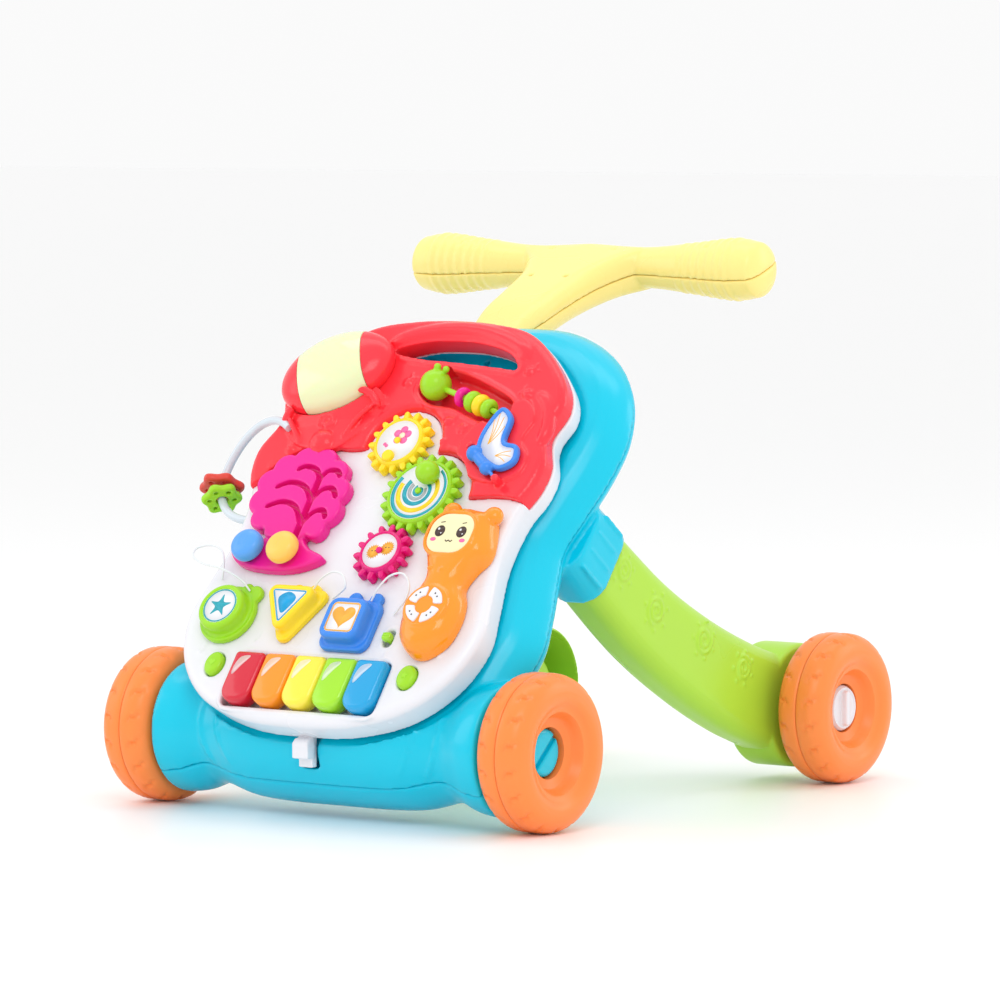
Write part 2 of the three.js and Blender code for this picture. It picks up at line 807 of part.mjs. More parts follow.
function buildTopCover() {
  const low = COVER_LOW + GAP;
  const outer = union(coverPlate(0, low, COVER_HIGH - 3), coverPlate(-1.6, low, COVER_HIGH));
  const inner = coverPlate(-WALL, COVER_LOW - 1, COVER_HIGH - WALL);
  const lampSeat = slab(inset(LAMP_LOOP, -0.6), COVER_HIGH, 60);
  const house = solidOf(
    layered(HOUSE_LOOP, [
      [0, 2],
      [1, 9],
      [5, 14],
    ]),
  );
  const handleFrame = slab(inset(HANDLE_OPENING, -2.4), low, COVER_HIGH - 0.5);
  const well = slab(inset(BEAD_RECESS, -2.2), low, COVER_HIGH - 0.5);
  const outside = coverPlate(0, low, 60);
  const [hx, hy] = BUTTERFLY.head;
  const [tx, ty] = BUTTERFLY.tail;
  const lugAt = [[hx - 10, hy + 7.5], [tx + 9.5, ty - 7]];
  const lugs = lugAt.map(([x, y]) => disc(x, y, 3.4, 2, BUTTERFLY.h + 3, 12));
  const rodFeet = [ROD.from, ROD.to].map(([x, y]) => disc(x, y, 3.4, -10, 2, 10));
  const shell = cut(outer, inner);
  const added = union(handleFrame, well).intersect(outside);
  const body = cut(
    union(shell, added, house, ...lugs),
    slab(HANDLE_OPENING, -60, 60),
    slab(BEAD_RECESS, low + WALL, 60),
    lampSeat,
    slab(inset(LAMP_LOOP, 10), -60, 60),
    solidOf(tube(ARC_POINTS, 3.9, 20)),
    butterflyPin(2.0),
  );
  part(panel, "panel_top_cover", union(body, ...rodFeet), "red");
}

function buildLamp() {
  const dome = [
    [0.97, COVER_HIGH + GAP],
    [1, 10],
    [0.95, 18],
    [0.8, 24],
    [0.55, 28.5],
    [0.28, 30],
  ].map(([k, h]) => atHeight(ellipseLoop(...LAMP.at, LAMP.rx * k, LAMP.ry * k, 22, LAMP.turn), h));
  const shell = cut(solidOf(loft(dome)), slab(inset(LAMP_LOOP, 6), 0, 8));
  const band = (grow) => {
    const blade = new THREE.BoxGeometry(56 + grow, 120, 60).rotateZ(LAMP.turn).translate(...LAMP.at, 40);
    return solidOf(blade);
  };
  part(panel, "lamp_cap", cut(shell, band(2 * GAP)), "red");
  part(panel, "lamp_lens", shell.intersect(band(0)), "lens", 0.2);
}

function buildTree() {
  const crown = solidOf(
    layered(TREE_LOOP, [
      [0, GAP],
      [0, 8],
      [3, 10],
    ]),
  );
  const curl = (points) => solidOf(tube(points.map(([x, y]) => [x, y, 10]), 2.6, 3, 6));
  const trunk = slab(roundedLoop(-60, 178, 5.4, 80, 2.4, 2), -2, 20);
  const root = slab(roundedLoop(-94, 152, 5.4, 30, 2.4, 2), -2, 20);
  const branches = [
    [[-60, 208], [-72, 220], [-84, 218]],
    [[-60, 208], [-50, 220], [-40, 216]],
    [[-62, 190], [-78, 204], [-98, 200]],
    [[-58, 190], [-46, 202], [-36, 194]],
    [[-62, 168], [-76, 184], [-88, 180]],
    [[-58, 168], [-50, 180], [-42, 170]],
  ].map(curl);
  part(panel, "tree_maze", cut(crown, trunk, root, ...branches), "magenta");
  const slider = (x, y) =>
    union(
      turned([[0, 10.5], [7, 10.5], [12.6, 14], [13, 18], [10, 23], [5, 25.4], [0, 25.8]], x, y, 18),
      disc(x, y, 2, -6, 12, 10),
      disc(x, y, 4.6, -7.5, -WALL - 0.6, 10),
    );
  part(panel, "maze_slider_blue", slider(-94, 146), "sky");
  part(panel, "maze_slider_yellow", slider(-60, 146), "peach");
}

// An involute spur gear outline whose first tooth points along +x.
function gearLoop(teeth) {
  const pressure = THREE.MathUtils.degToRad(24);
  const pitch = pitchRadius(teeth);
  const base = pitch * Math.cos(pressure);
  const involute = (angle) => Math.tan(angle) - angle;
  const halfAt = (r) => {
    const angle = Math.acos(Math.min(1, base / r));
    return (Math.PI / (2 * teeth)) * 0.84 + involute(pressure) - involute(angle);
  };
  const radii = [pitch - 1.25 * GEAR_MODULE, pitch, pitch + 0.8 * GEAR_MODULE];
  const loop = [];
  for (let t = 0; t < teeth; t++) {
    const middle = (t / teeth) * Math.PI * 2;
    const flank = radii.map((r) => [r, halfAt(Math.max(r, base))]);
    const both = [...flank.map(([r, a]) => [r, -a]), ...flank.reverse()];
    for (const [r, a] of both) {
      loop.push(new THREE.Vector2(r * Math.cos(middle + a), r * Math.sin(middle + a)));
    }
  }
  return loop;
}

function gearSolid({ teeth, at, turn }) {
  const loop = gearLoop(teeth).map((p) => p.rotateAround(new THREE.Vector2(), turn));
  const placed = loop.map((p) => p.add(new THREE.Vector2(...at)));
  const root = pitchRadius(teeth) - 1.25 * GEAR_MODULE;
  const wheel = union(slab(placed, 1, 9), disc(...at, root - 0.6, 8, 11, 20));
  return cut(wheel, disc(...at, 4.6, -1, 30, 12), disc(...at, root - 3.4, 10, 20, 20));
}

function buildGears() {
  const [green, yellow, magenta] = GEARS;
  const heading = (gear) => THREE.MathUtils.degToRad(gear.heading);
  // the green gear shows a tooth to the yellow one; the others turn a gap or a tooth to meet it
  green.turn = heading(yellow);
  yellow.turn = heading(yellow) + Math.PI + Math.PI / yellow.teeth;
  const step = (Math.PI * 2) / green.teeth;
  const offset = (heading(magenta) - green.turn) / step;
  const phase = offset - Math.round(offset);
  const lag = phase * step * (green.teeth / magenta.teeth);
  magenta.turn = heading(magenta) + Math.PI + Math.PI / magenta.teeth + lag;
  const [knobX, knobY] = [green.at[0] + 7, green.at[1] + 13];
  const knob = union(ball(9.5, knobX, knobY, 17), disc(knobX, knobY, 5, 9, 17, 12));
  const peg = disc(yellow.at[0] - 2, yellow.at[1] - 15, 5, 9, 14, 14);
  part(panel, green.name, union(gearSolid(green), knob), green.colour);
  part(panel, yellow.name, union(gearSolid(yellow), peg), yellow.colour);
  part(panel, magenta.name, gearSolid(magenta), magenta.colour);
}

function buildKeys() {
  KEY_COLOURS.forEach((colour, i) => {
    const width = KEY_PITCH - 2 * GAP;
    const loop = roundedLoop(keyX(i), (KEY_LOW + KEY_HIGH) / 2, width, KEY_HIGH - KEY_LOW, 5, 3);
    const key = layered(loop, [
      [0.4, -7],
      [0, 2],
      [1, 5],
      [3.4, 7],
    ]);
    part(panel, `key_${colour.slice(4)}`, solidOf(key), colour);
  });
}

function buildBlocks() {
  for (const { name, at, colour, ear } of BLOCKS) {
    const plate = layered(blockLoop(name, at, 1), [
      [0, GAP],
      [0, 4],
      [1.6, 5.6],
    ]);
    const plug = slab(blockLoop(name, at, 0.8), -7, 1);
    const raised = layered(blockLoop(name, at, 0.8), [
      [0, 5],
      [0, 15],
      [2.4, 17],
    ]);
    const label = slab(inset(blockLoop(name, at, 0.8), 4.6), 16.4, 20);
    const [earX, earY] = [at[0] + ear[0], at[1] + ear[1]];
    const ears = [-1, 1].map((k) => disc(earX + k * 6.75, earY - k * 2.6, 6, 1, 5, 12));
    part(panel, name, cut(union(solidOf(plate), plug, solidOf(raised), ...ears), label), colour);
  }
}

function buildPhone() {
  const body = layered(PHONE_LOOP, [
    [0, GAP],
    [0.6, 12],
    [5, 19],
    [9, 21],
  ]);
  const ears = [[80, 189], [117, 187]].map(([x, y]) => disc(x, y, 6.5, 4, 14, 14));
  const plug = slab(inset(PHONE_LOOP, 8.2), -10, 1);
  const faceLoop = roundedLoop(95.5, 164, 36, 33, 13, 4);
  const padAt = [98, 101];
  const ring = (outer, inner, low, high) =>
    cut(disc(...padAt, outer, low, high, 28), disc(...padAt, inner, low - 1, high + 1, 20));
  const solid = cut(
    union(solidOf(body), plug, ...ears),
    slab(inset(faceLoop, -GAP), 19, 40),
    ring(15.4, 7.6, 19.6, 40),
  );
  part(panel, "phone_body", solid, "phone_orange");
  part(panel, "phone_face", slab(faceLoop, 19 + GAP, 21.8), "face_cream");
  part(panel, "phone_keypad", ring(15, 8, 19.6 + GAP, 22.4), "white");
}

function buildButtons() {
  for (const [name, x] of BUTTONS) {
    const cap = layered(ellipseLoop(x, BUTTON_S, 8, 10, 20), [
      [0, -6],
      [0, 2.4],
      [1.4, 4],
      [4, 4.8],
    ]);
    part(panel, name, solidOf(cap), "gear_green");
  }
  const [x, y] = SWITCH_AT;
  const knob = union(slab(roundedLoop(x, y, 8.6, 7, 2, 2), GAP, 4.6), disc(x, y, 2.6, -5, 1, 10));
  part(panel, "power_switch", knob, "key_green");
}

// A point along the bead rod, a distance from its upper end.
function rodPoint(distance) {
  const from = new THREE.Vector2(...ROD.from);
  const way = new THREE.Vector2(...ROD.to).sub(from).normalize();
  const p = from.addScaledVector(way, distance);
  return [p.x, p.y, ROD.h];
}

function alongRod(profile, distance, sides = 14) {
  const points = profile.map(([r, t]) => new THREE.Vector2(r, t));
  const way = new THREE.Vector3(ROD.to[0] - ROD.from[0], ROD.to[1] - ROD.from[1], 0).normalize();
  const turn = new THREE.Quaternion().setFromUnitVectors(new THREE.Vector3(0, 1, 0), way);
  const lathe = new THREE.LatheGeometry(points, sides).applyQuaternion(turn);
  return solidOf(lathe.translate(...rodPoint(distance)));
}

const BEADS = [
  { name: "bead_magenta", at: 29, thick: 3.4, radius: 8, colour: "magenta" },
  { name: "bead_green", at: 41, thick: 4.3, radius: 8.6, colour: "gear_green" },
  { name: "bead_yellow", at: 50.4, thick: 4.3, radius: 8.8, colour: "yellow" },
  { name: "bead_tail_green", at: 59.6, thick: 4.2, radius: 8, colour: "gear_green" },
];

function buildBeadBug() {
  const length = Math.hypot(ROD.to[0] - ROD.from[0], ROD.to[1] - ROD.from[1]);
  const rod = union(
    alongRod([[0, 0], [2.4, 0], [2.4, length], [0, length]], 0),
    disc(...ROD.from, 2.4, 2 + GAP, ROD.h, 10),
    disc(...ROD.to, 2.4, 2 + GAP, ROD.h, 10),
  );
  const [hx, hy] = [ROD.from[0] - 3, ROD.from[1] + 1];
  const head = ball(12.5, hx, hy, 7, 1, 12);
  const foot = disc(...ROD.from, 6, -12, 2 + GAP, 12);
  const horns = [[hx + 2, hy + 11, 3.5], [hx + 9, hy + 10, 3]].map(([x, y, r]) => ball(r, x, y, 13, 1, 8));
  const throat = alongRod([[0, -30], [2.4 + GAP, -30], [2.4 + GAP, 30], [0, 30]], 0);
  const neck = disc(...ROD.from, 3, -20, ROD.h, 10);
  const face = cut(union(head, ...horns), foot, throat, neck);
  part(panel, "bead_bug_head", face, "gear_green");
  part(panel, "bead_rod", rod, "gear_green");
  for (const { name, at, thick, radius, colour } of BEADS) {
    const bore = 2.9;
    const profile = [
      [bore, -thick],
      [radius * 0.7, -thick],
      [radius, -thick * 0.4],
      [radius, thick * 0.4],
      [radius * 0.7, thick],
      [bore, thick],
      [bore, -thick],
    ];
    part(panel, name, alongRod(profile, at), colour);
  }
}

// The hinge pin hole or shaft along the butterfly's body.
function butterflyPin(radius) {
  const head = new THREE.Vector3(...BUTTERFLY.head, BUTTERFLY.h);
  const tail = new THREE.Vector3(...BUTTERFLY.tail, BUTTERFLY.h);
  const way = tail.clone().sub(head).normalize();
  const from = head.clone().addScaledVector(way, -14);
  const to = tail.clone().addScaledVector(way, 13);
  const shaft = new THREE.CylinderGeometry(radius, radius, from.distanceTo(to), 10);
  const turn = new THREE.Quaternion().setFromUnitVectors(new THREE.Vector3(0, 1, 0), way);
  const middle = from.clone().add(to).multiplyScalar(0.5);
  return solidOf(shaft.applyQuaternion(turn).translate(middle.x, middle.y, middle.z));
}

function buildButterfly() {
  const wing = smoothLoop(
    [
      [80, 243],
      [78, 262],
      [88, 284],
      [100, 276],
      [103, 254],
      [116, 250],
      [119, 236],
      [108, 228],
      [96, 231],
    ],
    26,
  );
  const flap = layered(wing, [
    [0.5, BUTTERFLY.h - 4],
    [0, BUTTERFLY.h - 1],
    [1.4, BUTTERFLY.h + 1.2],
  ]);
  const [hx, hy] = BUTTERFLY.head;
  const [tx, ty] = BUTTERFLY.tail;
  const body = tube([[hx - 2, hy + 1.5, BUTTERFLY.h], [tx + 2, ty - 1.5, BUTTERFLY.h]], 5.6, 1, 8);
  const solid = union(solidOf(flap), solidOf(body), ball(6.6, hx - 1, hy + 1, BUTTERFLY.h, 0.9, 10));
  part(panel, "butterfly", solid.add(butterflyPin(1.5)), "blue");
}

function buildSideBar() {
  part(panel, "side_arc_bar", solidOf(tube(ARC_POINTS, 3.4, 20)), "pale", 0.3);
  const rings = [
    ["ring_red", 196, "ring_red", 17],
    ["ring_green", 212, "gear_green", 15],
  ];
  for (const [name, angle, colour, radius] of rings) {
    const petals = 6;
    const loop = Array.from({ length: 24 }, (_, i) => {
      const a = (i / 24) * Math.PI * 2;
      const r = radius * (1 + 0.09 * Math.cos(petals * a));
      return new THREE.Vector2(r * Math.cos(a), r * Math.sin(a));
    });
    const rim = layered(loop, [
      [1.2, -3],
      [0, -1],
      [0, 1],
      [1.2, 3],
    ]);
    const flower = cut(solidOf(rim), disc(0, 0, 5, -9, 9, 14));
    const [x, y, h] = arcPoint(angle);
    const before = new THREE.Vector3(...arcPoint(angle - 4));
    const after = new THREE.Vector3(...arcPoint(angle + 4));
    const way = after.sub(before).normalize();
    const turn = new THREE.Quaternion().setFromUnitVectors(new THREE.Vector3(0, 0, 1), way);
    const placed = geometryOf(flower).applyQuaternion(turn).translate(x, y, h);
    part(panel, name, solidOf(placed), colour);
  }
}

// Thin ties that keep the blocks with the panel: out of the block's horn, round and back to the tray.
const TIES = [
  [
    "tie_circle",
    [
      [-83, 112, 6.5],
      [-92, 119, 10],
      [-112, 126, 14],
      [-134, 130, 14],
      [-148, 138, 12],
      [-150, 146, 9],
      [-138, 150, 8],
      [-126, 146, 7],
      [-121, 136, 5],
      [-119, 124, 1.5],
    ],
  ],
  [
    "tie_triangle",
    [
      [-24, 116, 6.5],
      [-18, 124, 10],
      [-6, 129, 14],
      [6, 126, 15],
      [10, 118, 12],
      [3, 115, 7],
      [-6, 113, 1.5],
    ],
  ],
  [
    "tie_square",
    [
      [35, 110, 6.5],
      [40, 118, 11],
      [50, 128, 15],
      [62, 130, 16],
      [70, 122, 14],
      [69, 112, 10],
      [62, 106, 5],
      [57, 102, 1.5],
    ],
  ],
];

function buildTies() {
  for (const [name, points] of TIES) {
    part(panel, name, solidOf(tube(points, 0.8, 20, 5)), "pale", 0.3);
  }
}

function buildLatch() {
  const foot = new THREE.BoxGeometry(10, 14, 16).translate(0, -46, 54);
  const hook = new THREE.BoxGeometry(13.6, 8, 14).translate(0, -55.6, 53);
  part(walker, "panel_latch", union(solidOf(foot), solidOf(hook)), "white");
}

buildChassis();
buildWheels();
buildTray();
buildBackCover();
buildTopCover();
buildLamp();
buildTree();
buildGears();
buildKeys();
buildBlocks();
buildPhone();
buildButtons();
buildBeadBug();
buildButterfly();
buildSideBar();
buildTies();
buildLatch();

// The origin is the middle of the footprint's box, on the floor.
walker.updateMatrixWorld(true);
const box = new THREE.Box3().setFromObject(walker, true);
walker.position.y = -(box.min.y + box.max.y) / 2;

export default walker;
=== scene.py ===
"""Looks of a push-along baby walker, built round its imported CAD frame.

Sizes are millimetres where a name says so and metres everywhere else. Panel coordinates are x to the
right, s up the panel's slope and h out of its face.
"""

import math

import bpy
import numpy as np
from bpy.props import FloatProperty, FloatVectorProperty, IntProperty, PointerProperty
from mathutils import Matrix, Vector


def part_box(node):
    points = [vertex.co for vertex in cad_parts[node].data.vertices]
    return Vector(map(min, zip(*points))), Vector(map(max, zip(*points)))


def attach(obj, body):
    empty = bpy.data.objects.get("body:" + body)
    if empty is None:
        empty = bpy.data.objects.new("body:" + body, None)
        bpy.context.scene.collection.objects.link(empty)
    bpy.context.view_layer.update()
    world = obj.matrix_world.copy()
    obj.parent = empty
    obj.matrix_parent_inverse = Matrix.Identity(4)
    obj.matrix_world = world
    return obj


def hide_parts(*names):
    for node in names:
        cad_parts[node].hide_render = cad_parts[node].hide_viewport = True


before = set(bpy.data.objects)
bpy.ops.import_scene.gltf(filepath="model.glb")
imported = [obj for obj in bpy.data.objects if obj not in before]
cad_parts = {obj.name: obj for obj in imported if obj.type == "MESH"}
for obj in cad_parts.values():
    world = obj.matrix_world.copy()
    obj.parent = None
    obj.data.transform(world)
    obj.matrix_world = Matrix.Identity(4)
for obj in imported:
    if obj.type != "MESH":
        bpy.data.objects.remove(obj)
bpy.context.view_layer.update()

bl_info = {
    "name": "Baby walker",
    "version": (1, 0, 0),
    "blender": (4, 5, 0),
    "location": "3D View > Sidebar > Walker",
    "description": "Builds the moulded pieces of a push-along baby walker on its frame",
    "category": "Add Mesh",
}

MM = 0.001
LEAN = math.radians(54)
SLOPE = np.array([0.0, math.cos(LEAN), math.sin(LEAN)])
OUTWARD = np.array([0.0, -math.sin(LEAN), math.cos(LEAN)])
WHEEL_RADIUS = 60.0
TRACK_HALF = 179.6
WHEELBASE = 406.5
HUB_X = 156.6
HANDLE_Y, HANDLE_Z = 320.8, 412.5
RIM_H = -58.0
FOOT_BEHIND_AXLE, FOOT_Z = -77.6, 74.9


def front_axle():
    """The distance from the origin to the front axle, along Y, in millimetres."""
    low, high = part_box("front_wheel_right_outer_half")
    return (low.y + high.y) / 2 / MM


AXLE_Y = front_axle()
PANEL_FOOT = np.array([0.0, AXLE_Y + FOOT_BEHIND_AXLE, FOOT_Z])


# ---------------------------------------------------------------- settings


def colour_setting(name, description, value):
    return FloatVectorProperty(
        name=name, description=description, subtype="COLOR", default=value, min=0, max=1, size=3
    )


class WALKER_colours(bpy.types.PropertyGroup):
    shell: colour_setting("Shell", "Colour of the chassis shells", (0.0, 0.56, 0.76))
    wheel: colour_setting("Wheels", "Colour of the wheels", (1.0, 0.26, 0.055))
    handle: colour_setting("Handle", "Colour of the push handle", (1.0, 0.80, 0.26))
    leg: colour_setting("Legs", "Colour of the rear legs", (0.43, 0.72, 0.05))
    tray: colour_setting("Tray", "Colour of the panel's tray", (0.80, 0.80, 0.845))
    cover: colour_setting("Top cover", "Colour of the panel's top cover", (1.0, 0.035, 0.055))


class WALKER_sizes(bpy.types.PropertyGroup):
    grain: FloatProperty(
        name="Fine mesh", description="Mesh size of the detailed mouldings", default=0.0009, unit="LENGTH",
        min=0.0004
    )
    coarse: FloatProperty(
        name="Coarse mesh", description="Mesh size of the big shells", default=0.0016, unit="LENGTH",
        min=0.0006
    )
    lens: FloatProperty(
        name="Lens", description="Focal length of the camera, in millimetres", default=214.91, min=20
    )
    distance: FloatProperty(
        name="Camera distance", description="Camera to the middle of the walker", default=4.4679,
        unit="LENGTH", min=0.5
    )
    wheel_sides: IntProperty(
        name="Wheel facets", description="Segments round each wheel", default=144, min=24
    )


def settings():
    return bpy.context.scene.walker_sizes


def colours():
    return bpy.context.scene.walker_colours


# ---------------------------------------------------------------- outlines


def curve_through(points, count, closed=True):
    """Evenly spaced points on a smooth curve through the given ones."""
    p = np.array(points, float)
    n = len(p)
    if closed:
        chain = np.vstack([p[-1], p, p[0], p[1]])
    else:
        chain = np.vstack([2 * p[0] - p[1], p, 2 * p[-1] - p[-2]])
    dense = []
    for i in range(1, n + 1 if closed else n):
        a, b, c, d = chain[i - 1 : i + 3]
        u, v, w = (max(np.linalg.norm(q) ** 0.5, 1e-6) for q in (b - a, c - b, d - c))
        m1 = ((b - a) / u - (c - a) / (u + v) + (c - b) / v) * v
        m2 = ((c - b) / v - (d - b) / (v + w) + (d - c) / w) * v
        t = np.linspace(0, 1, 24, endpoint=False)[:, None]
        dense.append(
            (2 * t**3 - 3 * t**2 + 1) * b + (t**3 - 2 * t**2 + t) * m1 + (3 * t**2 - 2 * t**3) * c
            + (t**3 - t**2) * m2
        )
    line = np.vstack([*dense, p[:1] if closed else p[-1:]])
    along = np.concatenate([[0], np.cumsum(np.linalg.norm(np.diff(line, axis=0), axis=1))])
    steps = np.linspace(0, along[-1], count + 1 if closed else count)
    even = np.stack([np.interp(steps, along, line[:, k]) for k in range(line.shape[1])], axis=1)
    return even[:count]


def mirrored(half):
    return half + [(-x, y) for x, y in half[-2:0:-1]]


def ellipse(x, y, rx, ry, count=48, turn=0.0):
    a = np.arange(count) / count * 2 * math.pi
    c, s = math.cos(turn), math.sin(turn)
    return np.stack(
        [x + rx * np.cos(a) * c - ry * np.sin(a) * s, y + rx * np.cos(a) * s + ry * np.sin(a) * c], axis=1
    )


def rounded_rectangle(x, y, width, height, radius, steps=8):
    loop = []
    for sx, sy, start in ((1, -1, -90), (1, 1, 0), (-1, 1, 90), (-1, -1, 180)):
        for k in range(steps + 1):
            a = math.radians(start + 90 * k / steps)
            cx, cy = x + sx * (width / 2 - radius), y + sy * (height / 2 - radius)
            loop.append((cx + radius * math.cos(a), cy + radius * math.sin(a)))
    return np.array(loop)


def anticlockwise(loop):
    x, y = loop[:, 0], loop[:, 1]
    area = np.sum(x * np.roll(y, -1) - np.roll(x, -1) * y)
    return loop if area > 0 else loop[::-1]


def inset(loop, distance):
    """The outline moved inwards, or outwards by a negative distance."""
    ring = anticlockwise(np.asarray(loop, float))
    if distance == 0:
        return ring
    a = ring - np.roll(ring, 1, axis=0)
    b = np.roll(ring, -1, axis=0) - ring
    a /= np.linalg.norm(a, axis=1)[:, None]
    b /= np.linalg.norm(b, axis=1)[:, None]
    way = np.stack([-(a[:, 1] + b[:, 1]), a[:, 0] + b[:, 0]], axis=1)
    way /= np.linalg.norm(way, axis=1)[:, None]
    stretch = np.maximum(0.6, way[:, 1] * a[:, 0] - way[:, 0] * a[:, 1])
    return ring + way * (distance / stretch)[:, None]


TRAY = curve_through(
    mirrored(
        [
            (0, 3), (52, 6.5), (98, 23), (128, 53), (140, 90), (135, 122), (128, 160), (130, 200), (138, 222),
            (139, 244), (129, 270), (135, 292), (131, 310), (108, 338), (76, 361), (38, 369), (0, 371),
        ]
    ),
    200,
)
RIM = curve_through(
    mirrored(
        [
            (0, -6), (100, 2), (146, 34), (152, 78), (158, 110), (153, 142), (145, 176), (141, 200),
            (147, 228),
            (157, 272), (158, 305), (146, 342), (118, 374), (76, 395), (30, 399), (0, 399),
        ]
    ),
    220,
)
HANDLE_OPENING = curve_through(
    [
        (-44, 337), (-20, 331), (18, 328.5), (60, 325), (79, 324), (70, 336), (44, 345), (10, 348), (-24, 345)
    ], 90
)
COVER_KEEP = curve_through(
    [
        (200, 209), (200, 420), (-200, 420), (-200, 211), (-126, 211), (-112, 230), (-84, 246), (-46, 246),
        (-20, 249), (30, 225), (66, 209), (110, 210),
    ],
    240,
)
PHONE = curve_through(
    [
        (103, 64), (118, 76), (123, 95), (121, 113), (115, 127), (119, 140), (127, 154), (124, 174),
        (117, 189),
        (105, 192), (90, 193), (82, 187), (73, 174), (69, 158), (76, 142), (81, 127), (76, 112), (74, 94),
        (79, 76),
        (91, 65),
    ],
    110,
)
RECESS = curve_through(
    [(-6, 304), (4, 318), (20, 320), (60, 308), (90, 291), (86, 274), (64, 276), (36, 286), (8, 291)], 90
)
WING = curve_through(
    [
        (80, 243), (78, 262), (88, 284), (100, 276), (103, 254), (116, 250), (119, 236), (108, 228), (96, 231)
    ], 80
)
LAMP_AT, LAMP_RX, LAMP_RY, LAMP_TURN = (-83, 310), 50, 35, 0.42

GEAR_MODULE = 3.3
GREEN_AT = (39.5, 207.0)


def gear_at(teeth, heading):
    reach = GEAR_MODULE * (teeth + 20) / 2
    a = math.radians(heading)
    return (GREEN_AT[0] + reach * math.cos(a), GREEN_AT[1] + reach * math.sin(a))


GEARS = {
    "gear_green": {"teeth": 20, "at": GREEN_AT, "heading": 131.6},
    "gear_yellow": {"teeth": 16, "at": gear_at(16, 131.6), "heading": 131.6},
    "gear_magenta": {"teeth": 14, "at": gear_at(14, 256.4), "heading": 256.4},
}

TIES = {
    "tie_circle": [
        (-83, 112, 6.5), (-92, 119, 10), (-112, 126, 14), (-134, 130, 14), (-148, 138, 12), (-150, 146, 9),
        (-138, 150, 8), (-126, 146, 7), (-121, 136, 5), (-119, 124, 1.5),
    ],
    "tie_triangle": [
        (-24, 116, 6.5), (-18, 124, 10), (-6, 129, 14), (6, 126, 15), (10, 118, 12), (3, 115, 7),
        (-6, 113, 1.5),
    ],
    "tie_square": [
        (35, 110, 6.5), (40, 118, 11), (50, 128, 15), (62, 130, 16), (70, 122, 14), (69, 112, 10),
        (62, 106, 5),
        (57, 102, 1.5),
    ],
}


# ---------------------------------------------------------------- places


def on_panel(points):
    """Panel millimetres to row metres."""
    p = np.asarray(points, float)
    out = np.outer(p[:, 1], SLOPE) + np.outer(p[:, 2], OUTWARD) + PANEL_FOOT
    out[:, 0] += p[:, 0]
    return out * MM


def on_walker(points):
    """Millimetres from the front axle's foot to row metres."""
    return (np.asarray(points, float) + np.array([0.0, AXLE_Y, 0.0])) * MM


def level(loop, h):
    return np.column_stack([anticlockwise(np.asarray(loop, float)), np.full(len(loop), float(h))])


# ---------------------------------------------------------------- solids as (points, faces)


def outwards(points, faces):
    """The same closed solid with its faces turned outwards."""
    volume = 0.0
    for face in faces:
        a = points[face[0]]
        for i in range(1, len(face) - 1):
            volume += np.dot(a, np.cross(points[face[i]], points[face[i + 1]]))
    if volume < 0:
        faces = [tuple(reversed(f)) for f in faces]
    return points, faces


def loft(rings, place=on_panel):
    """A closed solid through rings that all have the same number of points."""
    n = len(rings[0])
    points = place(np.vstack(rings))
    faces = []
    for r in range(len(rings) - 1):
        for i in range(n):
            a, b = r * n + i, r * n + (i + 1) % n
            faces.append((a, b, b + n, a + n))
    faces.append(tuple(reversed(range(n))))
    faces.append(tuple(range((len(rings) - 1) * n, len(rings) * n)))
    return outwards(points, faces)


def layered(loop, layers, place=on_panel):
    return loft([level(inset(loop, d), h) for d, h in layers], place)


def rounded(high, radius, steps=5):
    """Layers that turn an upright wall over into a flat top."""
    angles = [math.pi / 2 * k / steps for k in range(steps + 1)]
    return [(radius * (1 - math.cos(a)), high - radius + radius * math.sin(a)) for a in angles]


def slab(loop, low, high, edge=0.0, place=on_panel):
    top = rounded(high, edge) if edge else [(0, high)]
    return layered(loop, [(0, low), *top], place)


def disc(x, y, radius, low, high, edge=0.0, sides=48):
    return slab(ellipse(x, y, radius, radius, sides), low, high, edge)


def spun(profile, place, sides=64):
    """A solid of revolution about the local third axis; the profile is (radius, height) from axis to axis."""
    ring = np.arange(sides) / sides * 2 * math.pi
    rows = [(max(r, 0.02), z) for r, z in profile]
    rings = [np.column_stack([r * np.cos(ring), r * np.sin(ring), np.full(sides, z)]) for r, z in rows]
    return loft(rings, place)


def standing(x, y):
    """A place on the panel for something spun about an axis that stands on it."""
    return lambda p: on_panel(p + np.array([x, y, 0.0]))


def sideways(x, y, z, side=1):
    """A place for something spun about a horizontal axle, whose heights run outwards from x."""
    return lambda p: on_walker(np.column_stack([side * (x + p[:, 2]), y + p[:, 0], z + p[:, 1]]))


def ball(radius, x, y, h, squash=1.0, sides=40):
    profile = []
    for k in range(sides // 2 + 1):
        a = math.pi * k / (sides // 2) - math.pi / 2
        profile.append((radius * math.cos(a), h + squash * radius * math.sin(a)))
    return spun(profile, standing(x, y), sides)


def tube(points, radius, place=on_panel, sides=14, count=60, taper=0):
    """A round bar along a smooth open curve, with its ends drawn in over the last few steps."""
    path = curve_through(points, count, closed=False)
    way = np.gradient(path, axis=0)
    way /= np.linalg.norm(way, axis=1)[:, None]
    side = np.cross(way[0], [0.0, 0.0, 1.0])
    if np.linalg.norm(side) < 0.1:
        side = np.cross(way[0], [0.0, 1.0, 0.0])
    a = np.arange(sides) / sides * 2 * math.pi
    rings = []
    for i in range(count):
        side = side - way[i] * np.dot(side, way[i])
        side /= np.linalg.norm(side)
        up = np.cross(way[i], side)
        ends = min(i, count - 1 - i)
        r = radius * (math.sin(math.pi / 2 * min(1, (ends + 0.35) / taper)) if taper else 1)
        rings.append(path[i] + r * (np.outer(np.cos(a), side) + np.outer(np.sin(a), up)))
    return loft(rings, place)


